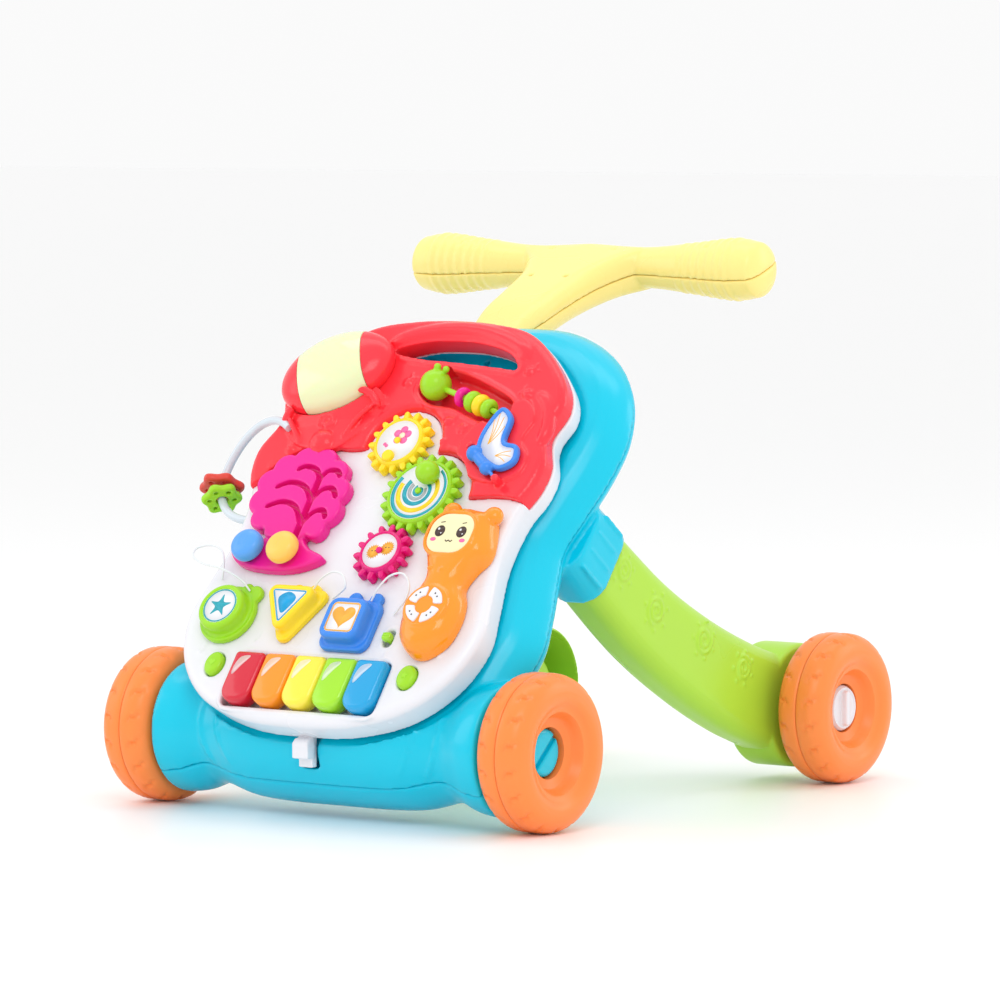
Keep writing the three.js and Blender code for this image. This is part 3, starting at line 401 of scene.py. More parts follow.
def block(width, depth, height, centre, place=on_walker, turn=(0, 0, 0)):
    """A plain cutter box."""
    w, d, h = width / 2, depth / 2, height / 2
    corners = [
        (-w, -d, -h), (w, -d, -h), (w, d, -h), (-w, d, -h), (-w, -d, h), (w, -d, h), (w, d, h), (-w, d, h)
    ]
    spin = np.array(
        Matrix.Rotation(turn[2], 3, "Z") @ Matrix.Rotation(turn[1], 3, "Y") @ Matrix.Rotation(turn[0], 3, "X")
    )
    points = place(np.array(corners) @ spin.T + np.array(centre, float))
    faces = [(0, 3, 2, 1), (4, 5, 6, 7), (0, 1, 5, 4), (1, 2, 6, 5), (2, 3, 7, 6), (3, 0, 4, 7)]
    return outwards(points, faces)


# ---------------------------------------------------------------- objects


def temporary(solid):
    mesh = bpy.data.meshes.new("tool")
    mesh.from_pydata([tuple(p) for p in solid[0]], [], solid[1])
    obj = bpy.data.objects.new("tool", mesh)
    bpy.context.scene.collection.objects.link(obj)
    return obj


def baked(obj, name):
    """The object's mesh with its modifiers applied, under a new name; the object goes."""
    bpy.context.view_layer.update()
    mesh = bpy.data.meshes.new_from_object(obj.evaluated_get(bpy.context.evaluated_depsgraph_get()))
    mesh.name = name
    old = obj.data
    bpy.data.objects.remove(obj)
    bpy.data.meshes.remove(old)
    return mesh


def carve(name, add, cut=(), voxel=None, smooth=6, keep=None):
    """A mesh of solids joined together, less the cutters, then remeshed to round every edge softly."""
    base = temporary(add[0])
    tools = []
    plan = [(s, "UNION") for s in add[1:]] + [(s, "DIFFERENCE") for s in cut]
    if keep is not None:
        plan.append((keep, "INTERSECT"))
    for solid, operation in plan:
        tool = temporary(solid)
        tools.append(tool)
        step = base.modifiers.new("cut", "BOOLEAN")
        step.operation = operation
        step.solver = "MANIFOLD"
        step.object = tool
    if voxel:
        remesh = base.modifiers.new("remesh", "REMESH")
        remesh.mode = "VOXEL"
        remesh.voxel_size = voxel
        if smooth:
            soften = base.modifiers.new("soften", "SMOOTH")
            soften.factor = 0.5
            soften.iterations = smooth
    mesh = baked(base, name)
    for tool in tools:
        data = tool.data
        bpy.data.objects.remove(tool)
        bpy.data.meshes.remove(data)
    if not len(mesh.polygons):
        raise RuntimeError(f"{name} came out empty")
    return mesh


def mesh_of(name, *solids):
    mesh = bpy.data.meshes.new(name)
    points, faces = [], []
    for p, f in solids:
        base = len(points)
        points.extend(tuple(q) for q in p)
        faces.extend(tuple(i + base for i in face) for face in f)
    mesh.from_pydata(points, [], faces)
    return mesh


def piece(name, mesh, body, material, replaces=(), crease=38):
    """An object of the walker: smooth-shaded, riding on its body."""
    if not isinstance(mesh, bpy.types.Mesh):
        mesh = mesh_of(name, *mesh)
    mesh.materials.clear()
    mesh.materials.append(material)
    mesh.shade_smooth()
    if crease:
        mesh.set_sharp_from_angle(angle=math.radians(crease))
    obj = bpy.data.objects.new(name, mesh)
    bpy.context.scene.collection.objects.link(obj)
    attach(obj, body)
    if replaces:
        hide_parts(*replaces)
    return obj


# ---------------------------------------------------------------- materials


def socket(group, name, way, kind="NodeSocketFloat", value=None):
    made = group.interface.new_socket(name=name, in_out=way, socket_type=kind)
    if value is not None:
        made.default_value = value


def mould_finish():
    """Shared moulded-plastic effect: fine orange-peel height, slight gloss changes, scuffed paler patches."""
    if "mould_finish" in bpy.data.node_groups:
        return bpy.data.node_groups["mould_finish"]
    group = bpy.data.node_groups.new("mould_finish", "ShaderNodeTree")
    socket(group, "Colour", "INPUT", "NodeSocketColor", (0.8, 0.8, 0.8, 1))
    socket(group, "Roughness", "INPUT", value=0.25)
    socket(group, "Grain size", "INPUT", value=900.0)
    socket(group, "Scuff", "INPUT", value=0.05)
    socket(group, "Colour", "OUTPUT", "NodeSocketColor")
    socket(group, "Roughness", "OUTPUT")
    socket(group, "Height", "OUTPUT")
    nodes, links = group.nodes, group.links
    enter, leave = nodes.new("NodeGroupInput"), nodes.new("NodeGroupOutput")
    where = nodes.new("ShaderNodeTexCoord")
    flow = nodes.new("ShaderNodeTexNoise")
    flow.inputs["Scale"].default_value = 14
    flow.inputs["Detail"].default_value = 3
    fine = nodes.new("ShaderNodeTexNoise")
    fine.inputs["Detail"].default_value = 2
    links.new(where.outputs["Object"], flow.inputs["Vector"])
    links.new(where.outputs["Object"], fine.inputs["Vector"])
    links.new(enter.outputs["Grain size"], fine.inputs["Scale"])
    spread = nodes.new("ShaderNodeMapRange")
    spread.inputs["From Min"].default_value = 0.3
    spread.inputs["From Max"].default_value = 0.7
    spread.inputs["To Min"].default_value = -1
    spread.inputs["To Max"].default_value = 1
    links.new(flow.outputs["Fac"], spread.inputs["Value"])
    wander = nodes.new("ShaderNodeMath")
    wander.operation = "MULTIPLY"
    links.new(spread.outputs["Result"], wander.inputs[0])
    links.new(enter.outputs["Scuff"], wander.inputs[1])
    rough = nodes.new("ShaderNodeMath")
    rough.operation = "ADD"
    rough.use_clamp = True
    links.new(enter.outputs["Roughness"], rough.inputs[0])
    links.new(wander.outputs[0], rough.inputs[1])
    shade = nodes.new("ShaderNodeHueSaturation")
    value = nodes.new("ShaderNodeMath")
    value.operation = "MULTIPLY_ADD"
    value.inputs[1].default_value = 0.5
    value.inputs[2].default_value = 1.0
    links.new(wander.outputs[0], value.inputs[0])
    links.new(value.outputs[0], shade.inputs["Value"])
    links.new(enter.outputs["Colour"], shade.inputs["Color"])
    links.new(shade.outputs["Color"], leave.inputs["Colour"])
    links.new(rough.outputs[0], leave.inputs["Roughness"])
    links.new(fine.outputs["Fac"], leave.inputs["Height"])
    return group


def plastic(name, colour, roughness=0.24, scuff=0.035, grain=700.0, relief=0.05, coat=0.0, glow=0.0):
    """A moulded plastic; colour is linear red, green and blue."""
    if name in bpy.data.materials:
        return bpy.data.materials[name]
    material = bpy.data.materials.new(name)
    material.use_nodes = True
    nodes, links = material.node_tree.nodes, material.node_tree.links
    shader = nodes["Principled BSDF"]
    finish = nodes.new("ShaderNodeGroup")
    finish.node_tree = mould_finish()
    finish.inputs["Colour"].default_value = (*colour, 1)
    finish.inputs["Roughness"].default_value = roughness
    finish.inputs["Grain size"].default_value = grain
    finish.inputs["Scuff"].default_value = scuff
    bump = nodes.new("ShaderNodeBump")
    bump.inputs["Strength"].default_value = relief
    bump.inputs["Distance"].default_value = 0.0004
    links.new(finish.outputs["Colour"], shader.inputs["Base Color"])
    links.new(finish.outputs["Roughness"], shader.inputs["Roughness"])
    links.new(finish.outputs["Height"], bump.inputs["Height"])
    links.new(bump.outputs["Normal"], shader.inputs["Normal"])
    shader.inputs["Specular IOR Level"].default_value = 0.38
    shader.inputs["Coat Weight"].default_value = coat
    if glow:
        shader.inputs["Emission Color"].default_value = (*colour, 1)
        shader.inputs["Emission Strength"].default_value = glow
    return material


PALETTE = {
    "magenta": (0.86, 0.012, 0.30),
    # deep_magenta is the magenta gear's own colour and also the painted shade at the bottom of the tree's
    # grooves.
    "deep_magenta": (0.76, 0.006, 0.19),
    "yellow": (1.0, 0.72, 0.02),
    "lime": (0.34, 0.70, 0.018),
    "phone_orange": (1.0, 0.30, 0.012),
    "face_cream": (0.90, 0.84, 0.50),
    "blue": (0.045, 0.25, 0.80),
    "sky": (0.10, 0.36, 0.86),
    "peach": (1.0, 0.60, 0.12),
    "key_red": (0.66, 0.010, 0.035),
    "key_orange": (1.0, 0.30, 0.01),
    "key_yellow": (1.0, 0.80, 0.06),
    "key_green": (0.36, 0.76, 0.02),
    "key_blue": (0.004, 0.36, 0.72),
    "lens": (0.80, 0.84, 0.50),
    "pale": (0.66, 0.74, 0.80),
    "ring_red": (0.69, 0.06, 0.04),
    "white": (0.88, 0.88, 0.92),
    "ink": (0.06, 0.03, 0.025),
    "pink_print": (1.0, 0.16, 0.42),
    "teal_print": (0.02, 0.40, 0.50),
    "grey_print": (0.42, 0.45, 0.48),
    "sun_print": (1.0, 0.48, 0.05),
    "cream_print": (0.98, 0.90, 0.62),
    "board": (0.012, 0.20, 0.06),
    "dark": (0.03, 0.032, 0.038),
}


def toy(name):
    return plastic("toy_" + name, PALETTE[name])


def printed(name):
    """A printed label: flat ink under a thin clear film."""
    return plastic("print_" + name, PALETTE[name], roughness=0.32, scuff=0.02, relief=0.02)


def shell():
    return plastic("shell_cyan", colours().shell, roughness=0.22, scuff=0.012)


def cover_red():
    return plastic("cover_red", colours().cover, roughness=0.2)


def tray_white():
    return plastic("tray_white", colours().tray, roughness=0.26)


# ---------------------------------------------------------------- ties


def tie_curve(name, points):
    curve = bpy.data.curves.new(name, "CURVE")
    curve.dimensions = "3D"
    curve.bevel_depth = 0.8 * MM
    curve.bevel_resolution = 4
    curve.use_fill_caps = True
    path = on_panel(curve_through(points, 60, closed=False))
    spline = curve.splines.new("POLY")
    spline.points.add(len(path) - 1)
    for point, place in zip(spline.points, path):
        point.co = (*place, 1)
    curve.materials.append(plastic("tie_nylon", (0.80, 0.84, 0.86), roughness=0.3))
    obj = bpy.data.objects.new(name + "_line", curve)
    bpy.context.scene.collection.objects.link(obj)
    length = float(np.sum(np.linalg.norm(np.diff(path, axis=0), axis=1)))
    return obj, [float(v) for v in path[0]], length


class WALKER_OT_ties(bpy.types.Operator):
    """Thin nylon ties from the shape blocks back to the tray"""

    bl_idname = "walker.ties"
    bl_label = "Block ties"

    def execute(self, context):
        for name, points in TIES.items():
            tie, exit_point, length = tie_curve(name, points)
            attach(tie, name.replace("tie", "block"))
            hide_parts(name)
        return {"FINISHED"}


# ---------------------------------------------------------------- stage


def area_light(name, place, target, size, power, tint=(1, 1, 1)):
    data = bpy.data.lights.new(name, "AREA")
    data.shape = "RECTANGLE"
    data.size, data.size_y = size
    data.energy = power
    data.color = tint
    lamp = bpy.data.objects.new(name, data)
    lamp.location = place
    lamp.rotation_euler = (Vector(target) - Vector(place)).to_track_quat("-Z", "Y").to_euler()
    bpy.context.scene.collection.objects.link(lamp)


class WALKER_OT_stage(bpy.types.Operator):
    """Floor, soft studio lights and camera"""

    bl_idname = "walker.stage"
    bl_label = "Stage"

    def execute(self, context):
        scene = context.scene
        middle = Vector((0.142176, AXLE_Y * MM, 0.247684))
        turn, rise = math.radians(35.968), math.radians(3.909)
        away = Vector((math.sin(turn) * math.cos(rise), -math.cos(turn) * math.cos(rise), math.sin(rise)))
        data = bpy.data.cameras.new("camera")
        data.lens = settings().lens
        data.sensor_width = 36
        data.clip_end = 100
        camera = bpy.data.objects.new("camera", data)
        camera.location = middle + away * settings().distance
        camera.rotation_euler = away.to_track_quat("Z", "Y").to_euler()
        scene.collection.objects.link(camera)
        scene.camera = camera

        floor_mesh = bpy.data.meshes.new("floor")
        floor_mesh.from_pydata([(-30, -30, 0), (30, -30, 0), (30, 30, 0), (-30, 30, 0)], [], [(0, 1, 2, 3)])
        floor_material = bpy.data.materials.new("floor_white")
        floor_material.use_nodes = True
        shader = floor_material.node_tree.nodes["Principled BSDF"]
        shader.inputs["Base Color"].default_value = (0.985, 0.985, 0.985, 1)
        shader.inputs["Roughness"].default_value = 0.42
        floor_mesh.materials.append(floor_material)
        floor = bpy.data.objects.new("floor", floor_mesh)
        floor.location.z = -0.0005
        scene.collection.objects.link(floor)

        world = bpy.data.worlds.new("studio")
        world.use_nodes = True
        world.node_tree.nodes["Background"].inputs["Color"].default_value = (1, 1, 1, 1)
        world.node_tree.nodes["Background"].inputs["Strength"].default_value = 0.96
        scene.world = world
        centre = (0, 0, 0.2)
        area_light("key", (1.6, -2.2, 2.4), centre, (1.5, 1.5), 22)
        area_light("left_fill", (-2.4, -1.6, 1.4), centre, (1.4, 2.0), 9)
        area_light("top_strip", (-0.2, 0.3, 2.2), centre, (2.6, 0.6), 7)
        area_light("rear_rim", (1.8, 2.0, 1.3), centre, (0.8, 1.6), 8)
        scene.view_settings.view_transform = "Standard"
        return {"FINISHED"}


# ---------------------------------------------------------------- chassis


def plate(layers):
    """Rings of the chassis rim drawn in towards its spine."""
    rings = []
    for depth, h in layers:
        loop = anticlockwise(RIM)
        foot = np.column_stack([np.zeros(len(loop)), np.clip(loop[:, 1], 60, 300)])
        way = foot - loop
        way /= np.linalg.norm(way, axis=1)[:, None]
        rings.append(level(loop + way * depth, h))
    return loft(rings)


def smooth_profile(points, count):
    return [tuple(p) for p in curve_through(points, count, closed=False)]


def drum(shrink=0.0, half=155.0):
    """The horizontal drum between the front wheels, waisted near both ends."""
    right = [(52.5, 0), (50.5, 76), (42.5, 114), (49.5, 136), (52, half)]
    points = [(r, -x) for r, x in reversed(right[1:])] + right
    line = smooth_profile(points, 64)
    rim = [(0, -half), (48 - shrink, -half), (51.2 - shrink, -half + 1)]
    body = [(r - shrink, x) for r, x in line[1:-1]]
    return spun(
        [*rim, *body, (51.2 - shrink, half - 1), (48 - shrink, half), (0, half)],
        sideways(0, 0, WHEEL_RADIUS), 96
    )


LEG_PATH = [
    (105.7, 214.9, 29), (125.5, 199, 31), (203.5, 142.5, 34), (268, 107, 36), (330, 80, 38), (378, 64, 39),
]


def leg_rings(side, grow=0.0, first=0.0, last=1.0, count=48):
    """Rounded sections along a rear leg, in millimetres from the front axle's foot."""
    path = curve_through(LEG_PATH, 101, closed=False)
    picks = np.linspace(first, last, count) * 100
    path = np.stack([np.interp(picks, np.arange(101), path[:, k]) for k in range(3)], axis=1)
    way = np.gradient(path[:, :2], axis=0)
    way /= np.linalg.norm(way, axis=1)[:, None]
    rings = []
    for (y, z, half), (wy, wz) in zip(path, way):
        section = rounded_rectangle(0, 0, 2 * (21 + grow), 2 * (half + grow), 15 + grow, 6)
        rings.append(
            np.column_stack([side * 127 + section[:, 0], y - wz * section[:, 1], z + wy * section[:, 1]])
        )
    return rings


def on_leg(side, along, across, out):
    """A point on a leg's flank: share of its length, millimetres across it and out from its middle plane."""
    path = curve_through(LEG_PATH, 101, closed=False)
    way = np.gradient(path[:, :2], axis=0)
    i = int(round(along * 100))
    wy, wz = way[i] / np.linalg.norm(way[i])
    return (side * (127 + out), path[i, 0] - wz * across, path[i, 1] + wy * across)


def half_space(h, above, size=900):
    return block(size, size, size, (0, 200, h + (size / 2 if above else -size / 2)), on_panel)


def ring_points(loop, depth, h):
    return [tuple(p) for p in level(inset(loop, depth), h)]


class WALKER_OT_chassis(bpy.types.Operator):
    """Front shell with its rolled rim and drum, and the rear cover with its leg collars"""

    bl_idname = "walker.chassis"
    bl_label = "Chassis"

    def execute(self, context):
        coarse = settings().coarse / MM
        body = drum()
        face = plate(
            [
                (1.5, RIM_H - 6), (0.2, RIM_H), (0.4, -54), (2.6, -49), (6, -44), (11, -38.5), (18, -33),
                (27, -29.4), (36, -28)
            ]
        )
        lip = tube(ring_points(RIM, 1.8, -56.6) + ring_points(RIM, 1.8, -56.6)[:2], 2.3, sides=12, count=260)
        swirls = []
        for side in (-1, 1):
            for turn in (0, 1):
                line = []
                for k in range(9):
                    t = k / 8
                    angle = math.radians(150 + 75 * t)
                    x = side * (78 + 24 * turn + (16 - 8 * turn) * t + 7 * math.sin(t * 3))
                    radius = np.interp(abs(x), (0, 76, 114, 136, 155), (52.5, 50.5, 42.5, 49.5, 52)) - 0.5
                    line.append((x, radius * math.cos(angle), WHEEL_RADIUS + radius * math.sin(-angle)))
                swirls.append(tube(line, 1.6, on_walker, 10, 40, taper=5))
        seat = slab(inset(TRAY, -0.8), -30.3, 90)
        slot = block(17, 60, 32, (0, -60, 57))
        pins = [
            spun([(0, 120), (18.9, 120), (18.9, 175), (0, 175)], sideways(0, 0, WHEEL_RADIUS, side))
            for side in (-1, 1)
        ]
        pins.append(slab(ellipse(18, 351, 2.8, 2.8, 24), -37, -20))
        front = carve(
            "chassis_front", [face, body, lip, *swirls], [seat, half_space(RIM_H + 0.2, False), slot, *pins],
            coarse * MM, 5,
        )
        piece("chassis_front", front, "chassis", shell(), ["chassis_front_shell"], crease=None)

        back = plate(
            [
                (28, -77), (20, -76), (13, -73.5), (7, -69.5), (3, -65), (1.2, -61), (0.4, RIM_H),
                (2, RIM_H + 6)
            ]
        )
        collars, ribs = [], []
        for side in (-1, 1):
            collars.append(loft(leg_rings(side, 3.0, 0.0, 0.135, 12), on_walker))
            for across in (-24, -8, 8, 24):
                points = [on_leg(side, t, across, 23.8) for t in (0.02, 0.07, 0.125)]
                ribs.append(tube(points, 1.5, on_walker, 10, 24, taper=2))
        spurs = [
            tube([(x, 22 + 0.02 * x * x, -77.0), (x * 0.9, 300, -77.0)], 2.2, sides=10, count=40, taper=4)
            for x in (-70, 0, 70)
        ]
        spots = [
            (-132, 290), (132, 290), (-95, 318), (95, 318), (-108, 95), (108, 95), (-35, 130), (35, 130),
            (-35, 250), (35, 250)
        ]
        screws = [slab(ellipse(x, s, 3.4, 3.4, 24), -90, -70) for x, s in spots]
        rear = carve(
            "chassis_rear", [back, body, *collars, *ribs, *spurs],
            [half_space(RIM_H - 0.35, True), *pins[:2], *screws], coarse * MM, 4,
        )
        piece("chassis_rear", rear, "chassis", shell(), ["chassis_rear_cover"], crease=None)

        for word, side in (("right", 1), ("left", -1)):
            pin = spun(
                [
                    (0, 122), (24, 122), (25.5, 123), (25.5, 125.5), (18.4, 126), (18.4, 181.6),
                    (17.6, 183.4), (15.5, 184.4), (0, 184.4)
                ],
                sideways(0, 0, WHEEL_RADIUS, side), 72,
            )
            groove = block(16, 60, 4.4, (side * 188, 0, WHEEL_RADIUS), turn=(0.72, 0, 0))
            mesh = carve("front_pin_" + word, [pin], [groove], 0.9 * MM, 2)
            piece(
                "front_pin_" + word, mesh, "chassis", shell(), ["front_axle_pin_" + word],
                crease=None
            )

        hook = [
            block(13, 6, 26, (0, -52, 55)), block(15, 9, 12, (0, -57.5, 55)),
            spun([(0, -7), (5.6, -7), (5.6, 7), (0, 7)], sideways(0, -57, 59), 32)
        ]
        mesh = carve("latch_hook", hook, [], 0.8 * MM, 6)
        piece("latch_hook", mesh, "latch", tray_white(), ["panel_latch"], crease=None)
        return {"FINISHED"}


class WALKER_OT_legs(bpy.types.Operator):
    """Rear legs with round hub housings and embossed swirls"""

    bl_idname = "walker.legs"
    bl_label = "Legs"

    def execute(self, context):
        leg_material = plastic("leg_lime", colours().leg, roughness=0.3)
        for word, side in (("right", 1), ("left", -1)):
            solids = [loft(leg_rings(side, 0.0, 0.07), on_walker)]
            rim = [
                (0, 106), (47, 106), (49.2, 107.4), (50, 110), (50, 144), (49.2, 146.6), (47, 148), (0, 148)
            ]
            solids.append(spun(rim, sideways(0, WHEELBASE, WHEEL_RADIUS, side), 80))
            solids.append(
                spun(
                    [(0, 140), (27, 140), (27, HUB_X - 1), (26, HUB_X), (0, HUB_X)],
                    sideways(0, WHEELBASE, WHEEL_RADIUS, side), 64
                )
            )
            for along, across, size in ((0.175, 6, 10), (0.36, 4, 12), (0.59, 13, 11.5), (0.79, 12, 10)):
                for face in (21.2, -21.2):
                    swirl = []
                    for k in range(30):
                        t = k / 29
                        angle = 4.4 * math.pi * t + along * 9
                        radius = size * (0.08 + 0.92 * t)
                        x, y, z = on_leg(side, along, across, face)
                        swirl.append((x, y + radius * math.cos(angle), z + radius * math.sin(angle)))
                    solids.append(tube(swirl, 1.4, on_walker, 8, 90, taper=6))
                    for k in range(7):
                        angle = 2 * math.pi * k / 7 + along * 5
                        x, y, z = on_leg(side, along, across, face)
                        ray = [
                            (x, y + r * math.cos(angle), z + r * math.sin(angle))
                            for r in (size + 2.6, size + 4.4)
                        ]
                        solids.append(tube(ray, 1.3, on_walker, 8, 10, taper=3))
            bore = spun(
                [(0, 129), (19, 129), (19, 170), (0, 170)], sideways(0, WHEELBASE, WHEEL_RADIUS, side)
            )
            hollow = spun(
                [(0, 100), (47.4, 100), (47.4, 140), (27, 145), (27, 129), (24, 118), (0, 118)],
                sideways(0, WHEELBASE, WHEEL_RADIUS, side), 80,
            )
            mesh = carve("leg_shell_" + word, solids, [bore, hollow], 1.1 * MM, 3)
            piece(
                "leg_shell_" + word, mesh, "chassis", leg_material, ["leg_" + word], crease=None
            )
        return {"FINISHED"}


# ---------------------------------------------------------------- handle


STEM_PATH = [
    (178, 333, 29, 15), (214, 368, 30, 15.5), (240, 381, 31, 16), (275, 395, 36, 17), (300, 405, 48, 17.5),
    (319, 412, 66, 18),
]


def stem():
    path = curve_through(STEM_PATH, 40, closed=False)
    way = np.gradient(path[:, :2], axis=0)
    way /= np.linalg.norm(way, axis=1)[:, None]
    rings = []
    for (y, z, wide, deep), (wy, wz) in zip(path, way):
        section = rounded_rectangle(0, 0, 2 * wide, 2 * deep, 13, 7)
        rings.append(np.column_stack([section[:, 0], y - wz * section[:, 1], z + wy * section[:, 1]]))
    return loft(rings, on_walker)


def grip_bar():
    """The cross bar: bulb ends, ribbed grips and a slimmer middle."""
    half = smooth_profile([(18.5, 0), (16.6, 56), (20.5, 100), (25, 145), (22.5, 160)], 120)
    shaped = []
    for r, x in half:
        ripple = 0.75 * math.sin((x - 92) / 8.2 * 2 * math.pi) if 92 < x < 150 else 0
        shaped.append((r + ripple - 0.2, x))
    tip = [(22.5 * math.cos(a) ** 0.8, 160 + 9.8 * math.sin(a)) for a in np.linspace(0.15, math.pi / 2, 10)]
    right = [*shaped, *tip]
    profile = [(r, -x) for r, x in reversed(right)] + right[1:]
    return spun(profile, sideways(0, HANDLE_Y, HANDLE_Z), 72)


class WALKER_OT_handle(bpy.types.Operator):
    """T-shaped push handle in two half shells"""

    bl_idname = "walker.handle"
    bl_label = "Handle"

    def execute(self, context):
        material = plastic("handle_cream", colours().handle, roughness=0.28)
        knee = STEM_PATH[2]
        slope = math.atan2(HANDLE_Z - knee[1], HANDLE_Y - knee[0])
        for above, word in ((True, "upper"), (False, "lower")):
            size = 700
            lift = (size / 2 + 0.2) * (1 if above else -1)
            centre = (0, HANDLE_Y - math.sin(slope) * lift, HANDLE_Z + math.cos(slope) * lift)
            half = block(size, size, size, centre, on_walker, (slope, 0, 0))
            holes = handle_screws() if above else []
            mesh = carve("handle_" + word, [grip_bar(), stem()], holes, 1.25 * MM, 5, keep=half)
            piece(
                "handle_" + word, mesh, "chassis", material, [f"handle_{word}_shell"],
                crease=None
            )
        return {"FINISHED"}


def handle_screws():
    """Small round screw wells along the bar's front and on the stem."""
    wells = []
    angle = math.radians(128)
    for x in (-120, -30, 30, 76, 120):
        out = 17 if abs(x) < 90 else 21
        y, z = HANDLE_Y + out * math.cos(angle), HANDLE_Z + out * math.sin(angle)
        path = [(x, y, z), (x, y + 14 * math.cos(angle), z + 14 * math.sin(angle))]
        wells.append(tube(path, 2.1, on_walker, 16, 6))
    for x, y, z in ((-16, 262, 392), (18, 262, 392)):
        wells.append(tube([(x, y, z + 9), (x, y - 6, z + 30)], 2.1, on_walker, 16, 6))
    return wells


# ---------------------------------------------------------------- wheels


def wheel_profile():
    """Half of a wheel from its seam out to the hub mouth, as (radius, distance from the seam)."""
    tread = [
        (59.0, 0.2), (59.6, 0.9), (60.0, 2.2), (60.0, 8.0), (59.2, 12.4), (56.6, 17.0), (52.0, 20.4),
        (46.5, 21.9)
    ]
    crown = smooth_profile(tread, 26)
    funnel = smooth_profile([(46.5, 21.9), (42.4, 21.9), (38.6, 20.6), (35.4, 18.6), (33.0, 17.6)], 14)[1:]
    step = [
        (31.6, 17.3), (31.0, 16.6), (29.0, 12.5), (27.2, 9.4), (26.2, 8.7), (20.4, 8.2), (19.6, 7.6),
        (19.5, 0.2)
    ]
    inner = [(22.2, 0.2), (25, 5), (43, 17.6), (54, 12.6), (57, 0.2)]
    return crown, [*crown, *funnel, *step, *inner]


def wheel_half(side, outward, y, sides):
    """One moulded half of a wheel, with short grooves pressed across each shoulder of its tread."""
    crown, profile = wheel_profile()
    ring = np.arange(sides) / sides * 2 * math.pi
    rings = []
    for k, (r, x) in enumerate(profile):
        radius = np.full(sides, r)
        if k < len(crown) and 6.5 < x < 19:
            fade = math.sin(math.pi * (x - 6.5) / 12.5) ** 0.5
            skew = ring * 18 / 2 / math.pi + (x - 12) * 0.022
            saw = np.abs((skew % 1.0) - 0.5) * 2
            radius = radius - 1.9 * fade * np.clip((0.16 - saw) / 0.06, 0, 1)
        rings.append(np.column_stack([radius * np.cos(ring), radius * np.sin(ring), np.full(sides, x)]))
    n = sides
    out = side * outward

    def place(p):
        return on_walker(
            np.column_stack([side * TRACK_HALF + out * p[:, 2], y + p[:, 0], WHEEL_RADIUS + p[:, 1]])
        )

    points = place(np.vstack(rings))
    faces = []
    count = len(rings)
    for r in range(count):
        for i in range(n):
            a, b = r * n + i, r * n + (i + 1) % n
            c, d = ((r + 1) % count) * n + (i + 1) % n, ((r + 1) % count) * n + i
            faces.append((a, b, c, d))
    return outwards(points, faces)


class WALKER_OT_wheels(bpy.types.Operator):
    """Four wheels of two halves each, and the knobs of the rear axles"""

    bl_idname = "walker.wheels"
    bl_label = "Wheels"

    def execute(self, context):
        material = plastic("wheel_orange", colours().wheel, roughness=0.32, relief=0.08)
        sides = settings().wheel_sides
        for place, y in (("front", 0.0), ("rear", WHEELBASE)):
            for word, side in (("right", 1), ("left", -1)):
                body = f"{place}_wheel_{word}"
                for half, outward in (("outer", 1), ("inner", -1)):
                    name = f"{body}_{half}"
                    piece(
                        name, [wheel_half(side, outward, y, sides)], body, material, [name + "_half"],
                        32
                    )
        for word, side in (("right", 1), ("left", -1)):
            body = [(0, 131), (18.4, 131), (18.4, 185), (17.8, 186.6), (16.2, 187.4), (0, 187.6)]
            knob = spun(body, sideways(0, WHEELBASE, WHEEL_RADIUS, side), 72)
            bar_loop = rounded_rectangle(0, 0, 6.5, 28.5, 3, 6)
            rings = [
                np.column_stack(
                    [np.full(len(loop), side * x), WHEELBASE + loop[:, 0], WHEEL_RADIUS + loop[:, 1]]
                )
                for loop, x in [(bar_loop, 186.0)] + [(inset(bar_loop, d), x) for d, x in rounded(192.4, 1.6)]
            ]
            ring_mark = spun(
                [(0, 186), (16.4, 186), (16.9, 188), (16.2, 188.7), (15.2, 188), (14.9, 186.5), (0, 186.5)],
                sideways(0, WHEELBASE, WHEEL_RADIUS, side), 72,
            )
            mesh = carve("rear_knob_cap_" + word, [knob, loft(rings, on_walker), ring_mark], [], 0.7 * MM, 3)
            piece(
                "rear_knob_cap_" + word, mesh, "rear_knob_" + word, tray_white(), ["rear_axle_knob_" + word],
                crease=None,
            )
        return {"FINISHED"}


# ---------------------------------------------------------------- panel shells


def solid_of(mesh):
    """A carved mesh as points and faces again, so that it can join or cut another piece."""
    points = np.array([v.co for v in mesh.vertices], float).reshape(-1, 3)
    faces = [tuple(p.vertices) for p in mesh.polygons]
    bpy.data.meshes.remove(mesh)
    return points, faces


def cover_plate(grow, low, high, reach=None):
    """A plate with the top cover's outline, grown outwards, between two heights."""
    upper = slab(inset(TRAY, 1.6 - grow if reach is None else -reach), low, high)
    keep = slab(COVER_KEEP, low - 5, high + 5)
    clearings = []
    for name in ("gear_green", "gear_yellow"):
        gear = GEARS[name]
        radius = GEAR_MODULE * gear["teeth"] / 2 + 7.5 - grow
        clearings.append(disc(*gear["at"], radius, low - 9, high + 9, sides=72))
    return solid_of(carve("cover_plate", [upper], clearings, keep=keep))


def closed_tube(loop, depth, h, radius, sides=10):
    """A bead of plastic that follows an outline."""
    ring = level(inset(loop, depth), h)
    line = [tuple(p) for p in ring] + [tuple(p) for p in ring[:2]]
    return tube(line, radius, sides=sides, count=len(line) * 2)


